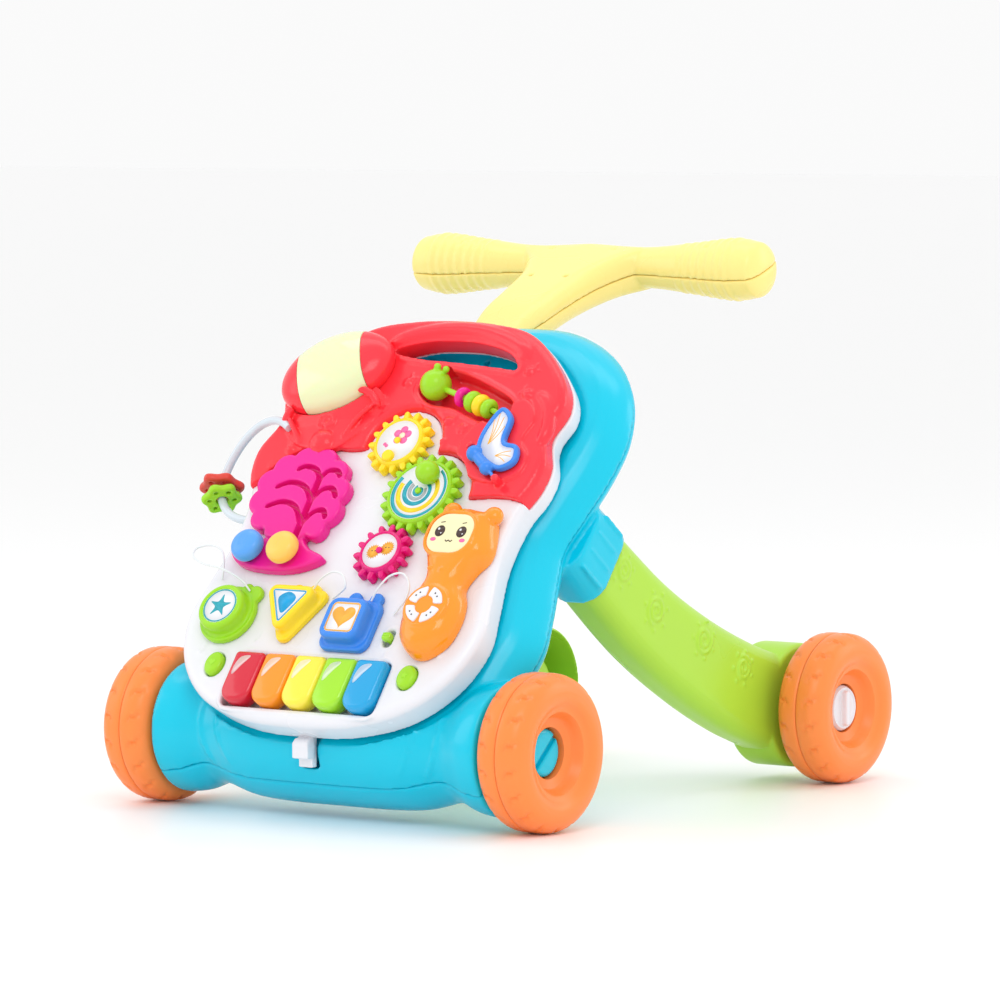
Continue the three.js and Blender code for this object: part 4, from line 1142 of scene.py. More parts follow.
def shape_loop(name, size):
    """Outline of a shape block, scaled about its middle."""
    if name == "block_circle":
        return ellipse(-97, 92, 25 * size, 25 * size, 72)
    if name == "block_square":
        return rounded_rectangle(23, 89, 46 * size, 45 * size, 9, 8)
    corner, loop = 7, []
    for start in (-90, 30, 150):
        a = math.radians(start)
        for k in range(-60, 61, 10):
            b = a + math.radians(k)
            reach = 29 * size - corner
            loop.append(
                (
                    -36 + reach * math.cos(a) + corner * math.cos(b),
                    100 + reach * math.sin(a) + corner * math.sin(b)
                )
            )
    return np.array(loop)


def side_bar_points():
    points = []
    for i in range(24):
        angle = 52 + i * 9.8
        t = min(1, max(0, (angle - 55) / 130))
        h = 9 - 24 * t * t * (3 - 2 * t)
        a = math.radians(angle)
        points.append((-135 + 40 * math.cos(a), 228 + 40 * math.sin(a), h))
    return points


class WALKER_OT_tray(bpy.types.Operator):
    """White tray of the activity panel with its wells, slots, posts and beads"""

    bl_idname = "walker.tray"
    bl_label = "Panel tray"

    def execute(self, context):
        fine = settings().grain / MM
        edge = [
            (3, -26), (1.7, -18), (0.5, -9), (0.2, -6.5), (0.6, -4.4), (1.6, -2.6), (3.2, -1.1), (5.2, -0.3),
            (7.5, 0)
        ]
        add = [layered(TRAY, edge)]
        for gear in GEARS.values():
            add.append(slab(ellipse(*gear["at"], 4.2, 4.2), -2, 9.2, 1.0))
        for x in (-92, 92):
            add.append(closed_tube(ellipse(x, 49, 8, 10, 40), -2.2, -0.5, 1.3))
        add.append(closed_tube(rounded_rectangle(60, 82, 11, 19, 5, 5), 0, -0.4, 1.2))
        add.append(closed_tube(rounded_rectangle(0, 38, 146, 46.4, 7, 5), -3.0, -0.9, 1.7))
        notes = [(-112, 60), (112, 70), (-62, 72), (60, 62)]
        for x, s in notes:
            add.append(ball(2.2, x, s, -0.6, 0.8, 16))
            add.append(tube([(x + 2, s, 0), (x + 2.6, s + 8, 0)], 0.8, sides=8, count=10))
        holes = [
            cover_plate(0.35, -12, 60, reach=4),
            slab(inset(HANDLE_OPENING, -15), -60, -13.5),
            slab(rounded_rectangle(0, 38, 146, 46.4, 5, 6), -12, 20),
            slab(HANDLE_OPENING, -50, 50),
            slab(rounded_rectangle(60, 82, 8.6, 14.6, 3.6, 5), -9, 10),
            slab(inset(PHONE, 7.5), -12, 20),
            slab(rounded_rectangle(-60, 176, 5, 72, 2, 3), -12, 20),
            slab(rounded_rectangle(-94, 152, 5, 28, 2, 3), -12, 20),
            slab(inset(ellipse(*LAMP_AT, LAMP_RX, LAMP_RY, 60, LAMP_TURN), 12), -24, 50),
        ]
        for x in (-92, 92):
            holes.append(slab(ellipse(x, 49, 8.5, 10.5), -10, 10))
        for name in ("block_circle", "block_triangle", "block_square"):
            holes.append(slab(shape_loop(name, 0.84), -11, 10))
        mesh = carve("tray_shell", add, holes, fine * 1.15 * MM, 4)
        piece("tray_shell", mesh, "panel", tray_white(), ["panel_tray"], crease=None)
        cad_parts["battery_door"].data.materials[0] = tray_white()
        plate = slab(inset(TRAY, 3.4), -26, -22.6, 0.8)
        bosses = [
            slab(ellipse(x, s, 4.5, 4.5, 32), -23, -18)
            for x, s in ((-95, 60), (95, 60), (-80, 250), (85, 250))
        ]
        wells = [
            slab(ellipse(x, s, 2.4, 2.4, 24), -40, -21)
            for x, s in ((-95, 60), (95, 60), (-80, 250), (85, 250))
        ]
        vents = [slab(rounded_rectangle(x - 6, 176, 2.2, 22, 1, 3), -40, -10) for x in range(-15, 16, 5)]
        openings = [
            slab(inset(HANDLE_OPENING, -15), -60, 0),
            slab(rounded_rectangle(0, 118, 70.8, 52.8, 4.4, 4), -27, -24)
        ]
        mesh = carve("back_plate", [plate, *bosses], [*openings, *wells, *vents], fine * MM, 2)
        piece("back_plate", mesh, "panel", tray_white(), ["panel_back_cover"], crease=None)
        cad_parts["circuit_board"].data.materials[0] = plastic("board_green", PALETTE["board"], 0.45)
        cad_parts["speaker"].data.materials[0] = plastic("speaker_dark", PALETTE["dark"], 0.6)
        return {"FINISHED"}


def flower(x, s, h, size):
    """A small embossed flower: five petals round a button."""
    bumps = [ball(size * 0.34, x, s, h, 0.8, 14)]
    for k in range(5):
        a = 2 * math.pi * k / 5 + 0.4
        bumps.append(
            ball(size * 0.4, x + size * 0.66 * math.cos(a), s + size * 0.66 * math.sin(a), h, 0.7, 12)
        )
    return bumps


def beetle(x, s, h, heading):
    """A small embossed beetle: a domed back, a head and two feelers."""
    c, n = math.cos(heading), math.sin(heading)
    parts = [ball(4.2, x, s, h, 0.62, 20), ball(2.4, x + 4.4 * c, s + 4.4 * n, h, 0.7, 14)]
    for k in (-1, 1):
        a = heading + 0.5 * k
        parts.append(
            tube(
                [(x + 5 * c, s + 5 * n, h + 0.6), (x + 9 * math.cos(a), s + 9 * math.sin(a), h + 0.4)], 0.7,
                sides=8, count=10, taper=3
            )
        )
    return parts


def coil(x, y, h, size, turns, radius, start=0.0, place=on_panel):
    """A spiral bead of plastic on a face."""
    line = []
    for k in range(40):
        t = k / 39
        a = start + 2 * math.pi * turns * t
        line.append((x + size * t * math.cos(a), y + size * t * math.sin(a), h))
    return tube(line, radius, place, 8, 110, taper=6)


VISOR = [
    (-119, 262, 7), (-112, 273, 14), (-99, 282, 18.5), (-76, 289, 21), (-54, 292.5, 20), (-40, 290, 16),
    (-31, 282, 9)
]


def hood():
    """The face under the lamp: it falls from the raised lip to a narrow foot on the cover."""
    upper = curve_through(VISOR, 25, closed=False)
    foot = [
        (-115, 258, 6.5), (-101, 247, 8), (-88, 243, 8), (-74, 241, 8), (-62, 243, 8), (-50, 252, 8),
        (-36, 272, 6.5)
    ]
    lower = curve_through(foot, 25, closed=False)
    rings = []
    for high, low in zip(upper, lower):
        high = high - np.array([0, 0, 4.5])
        bend = (high + low) / 2
        bend[2] = 0.3 * high[2] + 0.7 * low[2] - 0.8
        behind = high + np.array([0, 9, 0])
        rings.append(np.array([behind, high, bend, low, (low[0], low[1], 2), (behind[0], behind[1], 2)]))
    return loft(rings)


PLATEAU = curve_through(
    [
        (102, 296), (116, 278), (112, 260), (124, 244), (121, 228), (103, 220), (80, 223), (63, 233),
        (56, 250),
        (61, 268), (76, 281), (90, 292),
    ],
    90,
)


class WALKER_OT_cover(bpy.types.Operator):
    """Red top cover with its carry handle, hood, recess and embossed garden"""

    bl_idname = "walker.cover"
    bl_label = "Top cover"

    def execute(self, context):
        fine = settings().grain / MM
        add = [
            cover_plate(0, -11.6, 0.4),
            cover_plate(-0.7, -10, 2.2),
            cover_plate(-1.8, -10, 3.6),
            cover_plate(-3.3, -10, 4.6),
            cover_plate(-5.2, -10, 5.1),
            slab(PLATEAU, 2, 7.6, 1.4),
            hood(),
        ]
        arch = [(-62, 333, 0), (-38, 350, 0), (0, 358.5, 0), (40, 356, 0), (74, 344, 0), (98, 326, 0)]
        add.append(tube(arch, 8.6, sides=20, count=70, taper=12))
        add.append(closed_tube(HANDLE_OPENING, -4.2, 3.6, 2.6))
        add.append(closed_tube(RECESS, -2.6, 4.4, 1.8))
        add.append(tube(VISOR, 3.3, sides=14, count=80, taper=5))
        add.append(tube([(-36, 284, 12), (-46, 270, 12), (-57, 252, 7)], 2.2, sides=12, count=30, taper=4))
        add.append(tube([(-113, 268, 12), (-103, 257, 11), (-93, 245, 6)], 2.2, sides=12, count=30, taper=4))
        add.append(ball(12.5, -74, 249, 4.5, 0.8, 32))
        add.append(coil(-74, 266, 10.6, 7.5, 2.2, 1.5, 2.5))
        for bug in (
            (-18, 308, 5, 1.0), (35, 274, 5, 0.2), (99, 301, 5.2, 2.6), (92, 322, 5, 0.5),
            (-104, 243, 4.8, 1.7)
        ):
            add.extend(beetle(*bug))
        for bloom in (
            (-32, 285, 5, 4.4), (-43, 263, 5, 3.6), (51, 268, 5, 4.6), (38, 256, 5, 3.4), (-15, 328, 5, 3.4),
            (-116, 228, 4.6, 3.6)
        ):
            add.extend(flower(*bloom))
        lump = curve_through([(100, 306), (118, 296), (128, 272), (124, 252)], 12, closed=False)
        add.append(tube([(x, s, 1.5) for x, s in lump], 5.6, sides=14, count=40, taper=10))
        for x, s in ((72.5, 248), (107.5, 220)):
            add.append(slab(ellipse(x, s, 3.4, 3.4), 2, 15.6, 1.5))
        cut = [
            slab(HANDLE_OPENING, -60, 60),
            slab(RECESS, -9, 60),
            slab(inset(ellipse(*LAMP_AT, LAMP_RX, LAMP_RY, 72, LAMP_TURN), -0.6), 5.1, 60),
            disc(3, 316, 7, -9, 60, sides=32),
            disc(14, 318, 6, -9, 60, sides=32),
            tube([(77, 243, 13), (102, 224, 13)], 7.2, sides=20, count=20),
            ball(8.2, 79, 241.5, 13, 1, 32),
        ]
        for name in ("gear_green", "gear_yellow"):
            gear = GEARS[name]
            cut.append(disc(*gear["at"], GEAR_MODULE * gear["teeth"] / 2 + 7.5, -30, 60, sides=72))
        mesh = carve("cover_shell", add, cut, fine * MM, 5)
        piece("cover_shell", mesh, "panel", cover_red(), ["panel_top_cover"], crease=None)
        return {"FINISHED"}


class WALKER_OT_lamp(bpy.types.Operator):
    """Dome lamp: a pale lens between two red crescents"""

    bl_idname = "walker.lamp"
    bl_label = "Lamp"

    def execute(self, context):
        shape = smooth_profile(
            [
                (0.955, 5.35), (0.99, 8.5), (1.0, 12), (0.96, 17.5), (0.86, 22.5), (0.68, 26.8), (0.42, 29.4),
                (0.2, 30.1)
            ], 22
        )
        rings = [level(ellipse(*LAMP_AT, LAMP_RX * k, LAMP_RY * k, 96, LAMP_TURN), h) for k, h in shape]
        rings.append(level(ellipse(*LAMP_AT, 0.3, 0.3, 96, LAMP_TURN), 30.3))
        dome = loft(rings)

        def band(width):
            return block(width, 130, 70, (*LAMP_AT, 34), on_panel, (0, 0, LAMP_TURN))

        cap = carve("lamp_crescents", [dome], [band(57.4)])
        piece("lamp_crescents", cap, "panel", cover_red(), ["lamp_cap"], crease=30)
        lens = carve("lamp_window", [dome], keep=band(56.2))
        glass = plastic("lamp_lens", PALETTE["lens"], roughness=0.12, scuff=0.02, relief=0.02, coat=0.5)
        glass.node_tree.nodes["Principled BSDF"].inputs["Subsurface Weight"].default_value = 0.25
        glass.node_tree.nodes["Principled BSDF"].inputs["Subsurface Scale"].default_value = 0.006
        piece("lamp_window", lens, "panel", glass, ["lamp_lens"], crease=30)
        return {"FINISHED"}


# ---------------------------------------------------------------- toys


def scalloped(loop, lobes, depth, start=0.0):
    """The outline with rounded scallops along it."""
    ring = anticlockwise(loop)
    t = np.arange(len(ring)) / len(ring) * lobes + start
    swell = np.abs(np.sin(math.pi * t)) ** 0.75
    base = inset(ring, depth)
    way = ring - base
    return base + way * swell[:, None] * 1.15


class WALKER_OT_tree(bpy.types.Operator):
    """Tree maze with its two sliding knobs"""

    bl_idname = "walker.tree"
    bl_label = "Tree maze"

    def execute(self, context):
        crown_points = [
            (-62, 158), (-40, 163), (-30, 182), (-29, 206), (-40, 228), (-60, 241), (-84, 242), (-106, 231),
            (-118, 211), (-118, 190), (-109, 172), (-88, 160),
        ]
        crown = scalloped(curve_through(crown_points, 240), 12, 4.2, 0.5)
        mound = curve_through(
            [
                (-108, 137), (-78, 131), (-46, 134), (-27, 145), (-44, 153), (-52, 160), (-58, 172),
                (-78, 172), (-88, 160), (-104, 158), (-118, 150)
            ],
            120,
        )
        add = [slab(crown, 0.35, 10, 2.2), slab(mound, 0.35, 9, 2.4)]
        cuts = [
            slab(rounded_rectangle(-60, 178, 6.4, 80, 3, 4), -2, 20),
            slab(rounded_rectangle(-94, 152, 5.6, 30, 2.6, 4), -2, 20),
        ]
        branches = [
            [(-60, 214), (-66, 222), (-78, 225), (-86, 221)],
            [(-60, 214), (-54, 222), (-46, 222), (-40, 216)],
            [(-60, 194), (-70, 206), (-86, 210), (-100, 204)],
            [(-60, 194), (-52, 205), (-44, 206), (-36, 197)],
            [(-60, 172), (-72, 188), (-86, 192), (-102, 186)],
            [(-60, 172), (-52, 184), (-44, 186), (-38, 178)],
        ]
        for branch in branches:
            for h in (10.6, 7.8, 5.2):
                cuts.append(tube([(x, s, h) for x, s in branch], 2.5, sides=12, count=30, taper=3))
        mesh = carve("tree_crown", add, cuts, 0.8 * MM, 4)
        piece("tree_crown", mesh, "panel", toy("magenta"), ["tree_maze"], crease=None)
        # A deep magenta sheet inside the crown shows at the bottom of the branch grooves: painted shade in
        # the grooves.
        floor = [slab(inset(crown, 6), 0.2, 3.0)]
        piece("tree_groove_painted_shade", floor, "panel", toy("deep_magenta"))

        knob = smooth_profile(
            [
                (6.6, 10.5), (8.4, 12), (12.4, 13.8), (13.4, 16.8), (13.0, 20.8), (11.2, 23.4), (8.4, 24.6),
                (4, 25.3)
            ], 36
        )
        profile = [(0, 10.5), *knob, (0, 25.5)]
        for name, x, colour, slot in (
            ("maze_slider_blue", -94, "sky", "sky_slider"),
            ("maze_slider_yellow", -60, "peach", "peach_slider"),
        ):
            stem = spun(
                [(0, -7.5), (4.4, -7.5), (4.4, -3.6), (2, -3.4), (2, 12), (0, 12)], standing(x, 146), 24
            )
            grooves = []
            for k in range(-2, 3):
                grooves.append(
                    tube(
                        [(x + k * 2.6, 141.5, 25.4), (x + k * 2.6, 146, 25.7), (x + k * 2.6, 150.5, 25.4)],
                        0.7, sides=8, count=12
                    )
                )
            head = solid_of(carve(name + "_head", [spun(profile, standing(x, 146), 56)], grooves))
            mesh = carve(name + "_knob", [head, stem], [], 0.6 * MM, 2)
            piece(name + "_knob", mesh, name, toy(colour), [name], crease=None)
        return {"FINISHED"}


def gear_outline(teeth, at, turn):
    """Involute teeth with rounded tips, the first pointing along turn."""
    pressure = math.radians(24)
    pitch = GEAR_MODULE * teeth / 2
    base = pitch * math.cos(pressure)
    loop = []
    for t in range(teeth):
        flank = []
        for k in range(7):
            r = pitch - 1.25 * GEAR_MODULE + 1.9 * GEAR_MODULE * k / 6
            angle = math.acos(min(1, base / max(r, base)))
            half = math.pi / (2 * teeth) * 0.84 + (math.tan(pressure) - pressure) - (math.tan(angle) - angle)
            flank.append((r - (0.6 if k == 6 else 0), half * (0.9 if k == 6 else 1)))
        middle = 2 * math.pi * t / teeth + turn
        tip = [(flank[-1][0] + 0.5, 0)]
        for r, a in [(r, -a) for r, a in flank] + tip + flank[::-1]:
            loop.append((at[0] + r * math.cos(middle + a), at[1] + r * math.sin(middle + a)))
    return np.array(loop)


def gear_turns():
    heading = {name: math.radians(g["heading"]) for name, g in GEARS.items()}
    green, yellow, magenta = (GEARS[n]["teeth"] for n in ("gear_green", "gear_yellow", "gear_magenta"))
    first = heading["gear_yellow"]
    step = 2 * math.pi / green
    offset = (heading["gear_magenta"] - first) / step
    lag = (offset - math.floor(offset + 0.5)) * step * green / magenta
    return {
        "gear_green": first,
        "gear_yellow": first + math.pi + math.pi / yellow,
        "gear_magenta": heading["gear_magenta"] + math.pi + math.pi / magenta + lag,
    }


def ribbon(x, y, inner, outer, start, sweep, low, high):
    """A flat printed band between two radii that may both change along it."""
    a = start + np.linspace(0, sweep, 60)
    r1 = np.linspace(*inner, 60)
    r2 = np.linspace(*outer, 60)
    loop = np.vstack([
        np.column_stack([x + r2 * np.cos(a), y + r2 * np.sin(a)]),
        np.column_stack([x + r1[::-1] * np.cos(a[::-1]), y + r1[::-1] * np.sin(a[::-1])]),
    ])
    return slab(loop, low, high)


def label(name, solids, body, colour):
    piece(name, solids, body, printed(colour), crease=None)


class WALKER_OT_gears(bpy.types.Operator):
    """Three meshing gears with printed discs"""

    bl_idname = "walker.gears"
    bl_label = "Gears"

    def execute(self, context):
        turns = gear_turns()
        looks = {
            "gear_green": ("lime", "lime_toy"), "gear_yellow": ("yellow", "yellow_toy"),
            "gear_magenta": ("deep_magenta", "magenta_gear")
        }
        for name, gear in GEARS.items():
            x, y = gear["at"]
            root = GEAR_MODULE * gear["teeth"] / 2 - 1.25 * GEAR_MODULE
            outline = gear_outline(gear["teeth"], gear["at"], turns[name])
            solids = [layered(outline, [(0.5, 1), (0, 1.5), (0, 8.0), (0.35, 8.7), (0.9, 9)])]
            rim = [
                (0, 8), (root - 0.2, 8.2), (root - 0.6, 9.6), (root - 1.5, 10.7), (root - 2.4, 11),
                (root - 3.1, 10.7), (root - 3.4, 10.1), (0, 10.05)
            ]
            solids.append(spun(rim, standing(x, y), 96))
            if name == "gear_green":
                solids.append(
                    spun([(0, 9), (7.5, 9), (6.2, 11.5), (6, 13), (0, 13)], standing(x + 7, y + 13), 40)
                )
                solids.append(ball(9.5, x + 7, y + 13, 17.2, 1, 48))
            if name == "gear_yellow":
                solids.append(slab(ellipse(x - 2, y - 15, 5, 5), 9, 14.2, 1.6))
            colour, slot = looks[name]
            piece(name + "_wheel", solids, name, toy(colour), [name])
            label(name + "_disc", [disc(x, y, root - 3.8, 10, 10.25, sides=96)], name, "white")
            piece(
                name + "_cap", [slab(ellipse(x, y, 2.6, 2.6, 32), 10, 12.4, 0.8)], name, toy(colour),
            )
        x, y = GEARS["gear_green"]["at"]
        outer = 24.6
        label("snail_band_teal", [
            ribbon(
                x, y, (outer - 3.2, outer - 2.2), (outer, outer - 0.2), math.radians(150), math.radians(265),
                10.2, 10.4
            ),
            ribbon(x, y, (11.5, 7.5), (15.5, 10.5), math.radians(140), math.radians(300), 10.2, 10.4),
            ribbon(x, y, (3.5, 1.5), (6.0, 3.6), math.radians(120), math.radians(330), 10.2, 10.4),
        ], "gear_green", "teal_print")
        label("snail_band_yellow", [
            ribbon(x, y, (16.5, 14.5), (20.6, 18.4), math.radians(160), math.radians(240), 10.2, 10.4)
        ], "gear_green", "yellow")
        label("snail_band_grey", [
            ribbon(x, y, (7.2, 4.4), (10.6, 7.0), math.radians(140), math.radians(250), 10.2, 10.4)
        ], "gear_green", "grey_print")
        x, y = GEARS["gear_yellow"]["at"]
        petals = [
            disc(x + 2 + 5.2 * math.cos(a), y + 5 + 5.2 * math.sin(a), 3.3, 10.2, 10.4, sides=24)
            for a in np.arange(5) * 1.2566 + 0.3
        ]
        label(
            "gear_flower",
            petals + [
                disc(x - 9, y - 5, 1.5, 10.2, 10.4, sides=16),
                disc(x - 11, y - 3.6, 1.5, 10.2, 10.4, sides=16)
            ],
            "gear_yellow", "pink_print"
        )
        label(
            "gear_flower_eye", [disc(x + 2, y + 5, 2.6, 10.3, 10.45, sides=24)], "gear_yellow", "cream_print"
        )
        x, y = GEARS["gear_magenta"]["at"]
        suns, faces = [], []
        for _, (dx, dy) in enumerate(((-5.4, -1.2), (6.2, 2.4))):
            rays = []
            for i in range(36):
                a = 2 * math.pi * i / 36
                r = 6.6 if i % 2 else 4.9
                rays.append((x + dx + r * math.cos(a), y + dy + r * math.sin(a)))
            suns.append(slab(np.array(rays), 10.2, 10.4))
            faces.extend(disc(x + dx + e, y + dy + 0.6, 0.55, 10.35, 10.5, sides=12) for e in (-1.4, 1.4))
        label("gear_suns", suns, "gear_magenta", "sun_print")
        label("gear_sun_eyes", faces, "gear_magenta", "ink")
        return {"FINISHED"}


def key_outline(x, width=28.3, low=16, high=60):
    """A key: squarish at its hinge, well rounded at its free end."""
    loop = []
    for sx, y, radius, start in ((1, low, 12, -90), (1, high, 4, 0), (-1, high, 4, 90), (-1, low, 12, 180)):
        cx = x + sx * (width / 2 - radius)
        cy = y + radius if y == low else y - radius
        for k in range(9):
            a = math.radians(start + 90 * k / 8)
            loop.append((cx + radius * math.cos(a), cy + radius * math.sin(a)))
    return np.array(loop)


class WALKER_OT_keys(bpy.types.Operator):
    """Five piano keys with painted highlights"""

    bl_idname = "walker.keys"
    bl_label = "Keys"

    def execute(self, context):
        for i, word in enumerate(("red", "orange", "yellow", "green", "blue")):
            x = (i - 2) * 29
            name = "key_" + word
            layers = [(0.5, -7), (0, -6), (0, 1.6), *rounded(7.0, 3.9, 8)[1:]]
            material = plastic("toy_" + name, PALETTE[name], roughness=0.12, scuff=0.02, coat=0.4)
            piece(name + "_cap", [layered(key_outline(x), layers)], name, material, [name], crease=50)
            # A paler copy of each key's colour, laid as a slanted patch near its free end, is a painted
            # highlight: the shine of the light on the glossy key.
            pale = tuple(0.45 * c + 0.55 for c in PALETTE[name])
            film = plastic("painted_highlight_" + word, pale, roughness=0.2, scuff=0.02)
            glint = curve_through(
                [(x - 9.5, 45), (x - 6, 53.5), (x + 2.5, 55), (x - 2.5, 47), (x - 8.5, 38)], 40
            )
            piece(name + "_glint", [slab(glint, 6.95, 7.2)], name, film, crease=None)
        return {"FINISHED"}


def star(x, y, r1, r2, points=5, turn=math.pi / 2):
    loop = []
    for i in range(points * 2):
        a = turn + math.pi * i / points
        r = r1 if i % 2 == 0 else r2
        loop.append((x + r * math.cos(a), y + r * math.sin(a)))
    return curve_through(loop, 100)


def heart(x, y, size):
    t = np.arange(60) / 60 * 2 * math.pi
    return np.column_stack([
        x + size * np.sin(t) ** 3,
        y + size * (
            0.8125 * np.cos(t) - 0.3125 * np.cos(2 * t) - 0.125 * np.cos(3 * t) - 0.0625 * np.cos(4 * t)
        ),
    ])


class WALKER_OT_blocks(bpy.types.Operator):
    """Lift-out shape blocks with eared plates and printed labels"""

    bl_idname = "walker.blocks"
    bl_label = "Shape blocks"

    def execute(self, context):
        plans = (
            (
                "block_circle", "lime", "lime_toy", [(17, 19, 7.5), (9, 23.5, 4.5)], star(-97, 92, 10, 4.4),
                "teal_print"
            ),
            (
                "block_triangle", "yellow", "yellow_toy", [(-4, 19, 6), (12, 19.5, 6)],
                curve_through([(-36, 108), (-28, 103), (-31, 95), (-36, 89), (-41, 95), (-44, 103)], 60),
                "key_blue"
            ),
            (
                "block_square", "blue", "blue_toy", [(-6, 23, 6), (14, 23.5, 6)], heart(23, 90, 10.5),
                "sun_print"
            ),
        )
        centres = {"block_circle": (-97, 92), "block_triangle": (-36, 97), "block_square": (23, 89)}
        for name, colour, slot, ears, mark, ink in plans:
            cx, cy = centres[name]
            add = [slab(shape_loop(name, 1), 0.35, 5.6, 1.8), slab(shape_loop(name, 0.8), -7, 1)]
            add.append(
                layered(
                    shape_loop(name, 0.8),
                    [(-1.6, 5), (-0.4, 6.2), (0, 8), (0, 13.6), (0.5, 15.4), (1.5, 16.6), (2.8, 17)]
                )
            )
            for dx, dy, r in ears:
                add.append(slab(ellipse(cx + dx, cy + dy, r, r, 40), 0.5, 5.4, 1.8))
            label_loop = inset(shape_loop(name, 0.8), 4.4)
            groove = closed_tube(shape_loop(name, 0.8), -2.2, 5.8, 0.9)
            mesh = carve(name + "_body", add, [slab(label_loop, 16.1, 30), groove], 0.75 * MM, 3)
            piece(name + "_body", mesh, name, toy(colour), [name], crease=None)
            label(name + "_label", [slab(inset(label_loop, 0.3), 15.9, 16.35)], name, "white")
            rim = inset(label_loop, 0.9)
            inner = inset(label_loop, 2.0)
            band = carve(name + "_band", [slab(rim, 16.3, 16.5)], [slab(inner, 16, 17)])
            piece(name + "_band", band, name, printed(ink), crease=None)
            label(name + "_mark", [slab(mark, 16.3, 16.5)], name, ink)
        return {"FINISHED"}


class WALKER_OT_phone(bpy.types.Operator):
    """Toy phone with a bear's face and a ring of pads"""

    bl_idname = "walker.phone"
    bl_label = "Phone"

    def execute(self, context):
        body = layered(
            PHONE,
            [
                (0.5, 0.35), (0, 1.4), (0, 6), (0.5, 10), (1.8, 13.6), (4, 16.8), (7, 19.3), (10.5, 20.7),
                (14, 21.1)
            ]
        )
        add = [body, slab(inset(PHONE, 8.2), -10, 1)]
        for x, y in ((79, 190), (118, 188)):
            add.append(ball(8, x, y, 9.5, 0.85, 32))
        face = rounded_rectangle(94, 165, 42, 37, 15, 8)
        add.append(closed_tube(face, -0.6, 20.2, 1.5))
        add.append(layered(ellipse(98, 101, 19.5, 19.5, 60), [(0, 15), (0, 20.4), (0.8, 21.4), (2.2, 21.8)]))
        add.append(ball(2.2, 88, 134, 20.6, 0.8, 16))
        add.append(ball(2.2, 99, 133, 20.6, 0.8, 16))
        cuts = [slab(inset(face, 1.2), 20.4, 40)]
        for k in range(3):
            s = 122 + 4.5 * k
            cuts.append(tube([(112 - k, s, 22), (121 - k, s + 1, 12)], 0.7, sides=8, count=12))
        mesh = carve("phone_shell", add, cuts, 0.85 * MM, 5)
        phone = plastic("toy_phone_orange", PALETTE["phone_orange"], roughness=0.16, scuff=0.03, coat=0.3)
        piece("phone_shell", mesh, "phone", phone, ["phone_body"], crease=None)
        plate = [layered(inset(face, 1.4), [(0, 19.4), (0, 20.8), (1, 21.3), (4, 21.6)])]
        piece("phone_face_plate", plate, "phone", toy("face_cream"), ["phone_face"], crease=50)
        eyes = [slab(ellipse(x, 166, 4.4, 4.9, 40), 21.4, 21.8) for x in (84.5, 104.5)]
        label("phone_eyes", eyes, "phone", "ink")
        # The small white dots on the eyes are painted highlights.
        glints = [disc(x - 1.4, 167.8, 1.0, 21.7, 21.95, sides=20) for x in (84.5, 104.5)]
        glints += [disc(x + 1.6, 164.2, 0.6, 21.7, 21.95, sides=16) for x in (84.5, 104.5)]
        label("phone_eye_glints", glints, "phone", "white")
        smile = [
            tube(
                [
                    (92.5, 158.4, 21.6), (94, 157.2, 21.6), (95.7, 158.2, 21.6), (97.4, 157.2, 21.6),
                    (99, 158.4, 21.6)
                ],
                0.42, sides=8, count=30
            )
        ]
        smile += [
            tube([(x - 2, 173.6, 21.5), (x + 1.6, 174.4, 21.5)], 0.42, sides=8, count=8)
            for x in (84.5, 104.5)
        ]
        label("phone_smile", smile, "phone", "ink")
        cheeks = [slab(ellipse(x, 158.6, 2.6, 1.7, 24), 21.4, 21.7) for x in (81, 108)]
        label("phone_cheeks", cheeks, "phone", "pink_print")
        pads = []
        for k in range(4):
            middle = math.radians(90 * k + 45)
            half = math.radians(37)
            a = np.linspace(middle - half, middle + half, 16)
            ring = np.vstack([
                np.column_stack([98 + 15.6 * np.cos(a), 101 + 15.6 * np.sin(a)]),
                np.column_stack([98 + 7.8 * np.cos(a[::-1]), 101 + 7.8 * np.sin(a[::-1])]),
            ])
            pads.append(slab(curve_through(ring[::2], 60), 20.6, 23.0, 0.8))
        piece("phone_pads", pads, "phone", tray_white(), ["phone_keypad"], crease=50)
        dots = []
        for k in range(4):
            middle = math.radians(90 * k + 45)
            for e in (-0.16, 0.16):
                dots.append(
                    disc(
                        98 + 12 * math.cos(middle + e), 101 + 12 * math.sin(middle + e), 0.7, 22.9, 23.15,
                        sides=12
                    )
                )
        label("phone_pad_dots", dots, "phone", "ink")
        return {"FINISHED"}


class WALKER_OT_buttons(bpy.types.Operator):
    """Two oval buttons and the power switch"""

    bl_idname = "walker.buttons"
    bl_label = "Buttons and switch"

    def execute(self, context):
        for word, x in (("left", -92), ("right", 92)):
            cap = [
                layered(ellipse(x, 49, 8, 10, 64), [(0, -6), (0, 1.4), *rounded(4.4, 2.8, 7)[1:], (4.6, 4.8)])
            ]
            piece(
                f"button_{word}_cap", cap, "button_" + word, toy("lime"), ["button_" + word],
                crease=50
            )
            mark = heart(x, 49, 3.0) if word == "left" else star(x, 49, 3.4, 1.5)
            piece(
                f"button_{word}_mark", [slab(mark, 4.6, 5.1)], "button_" + word, toy("key_green"),
            )
        knob = [slab(rounded_rectangle(60, 82, 8.4, 7, 2.6, 6), 0.35, 4.8, 1.5), disc(60, 82, 2.6, -5, 1)]
        for k in (-1, 0, 1):
            knob.append(tube([(57, 82 + 1.9 * k, 4.7), (63, 82 + 1.9 * k, 4.7)], 0.5, sides=8, count=6))
        piece("switch_knob", knob, "power_switch", toy("key_green"), ["power_switch"])
        floor = [slab(rounded_rectangle(60, 82, 9.4, 17.4, 4, 5), -5.4, -4.6)]
        piece(
            "switch_slot_floor", floor, "panel", plastic("slot_grey", PALETTE["grey_print"], 0.5),
        )
        return {"FINISHED"}


ROD_START = np.array([14.0, 304.5, 7.0])
ROD_WAY = np.array([70.0, -23.5, 0.0]) / math.hypot(70, 23.5)


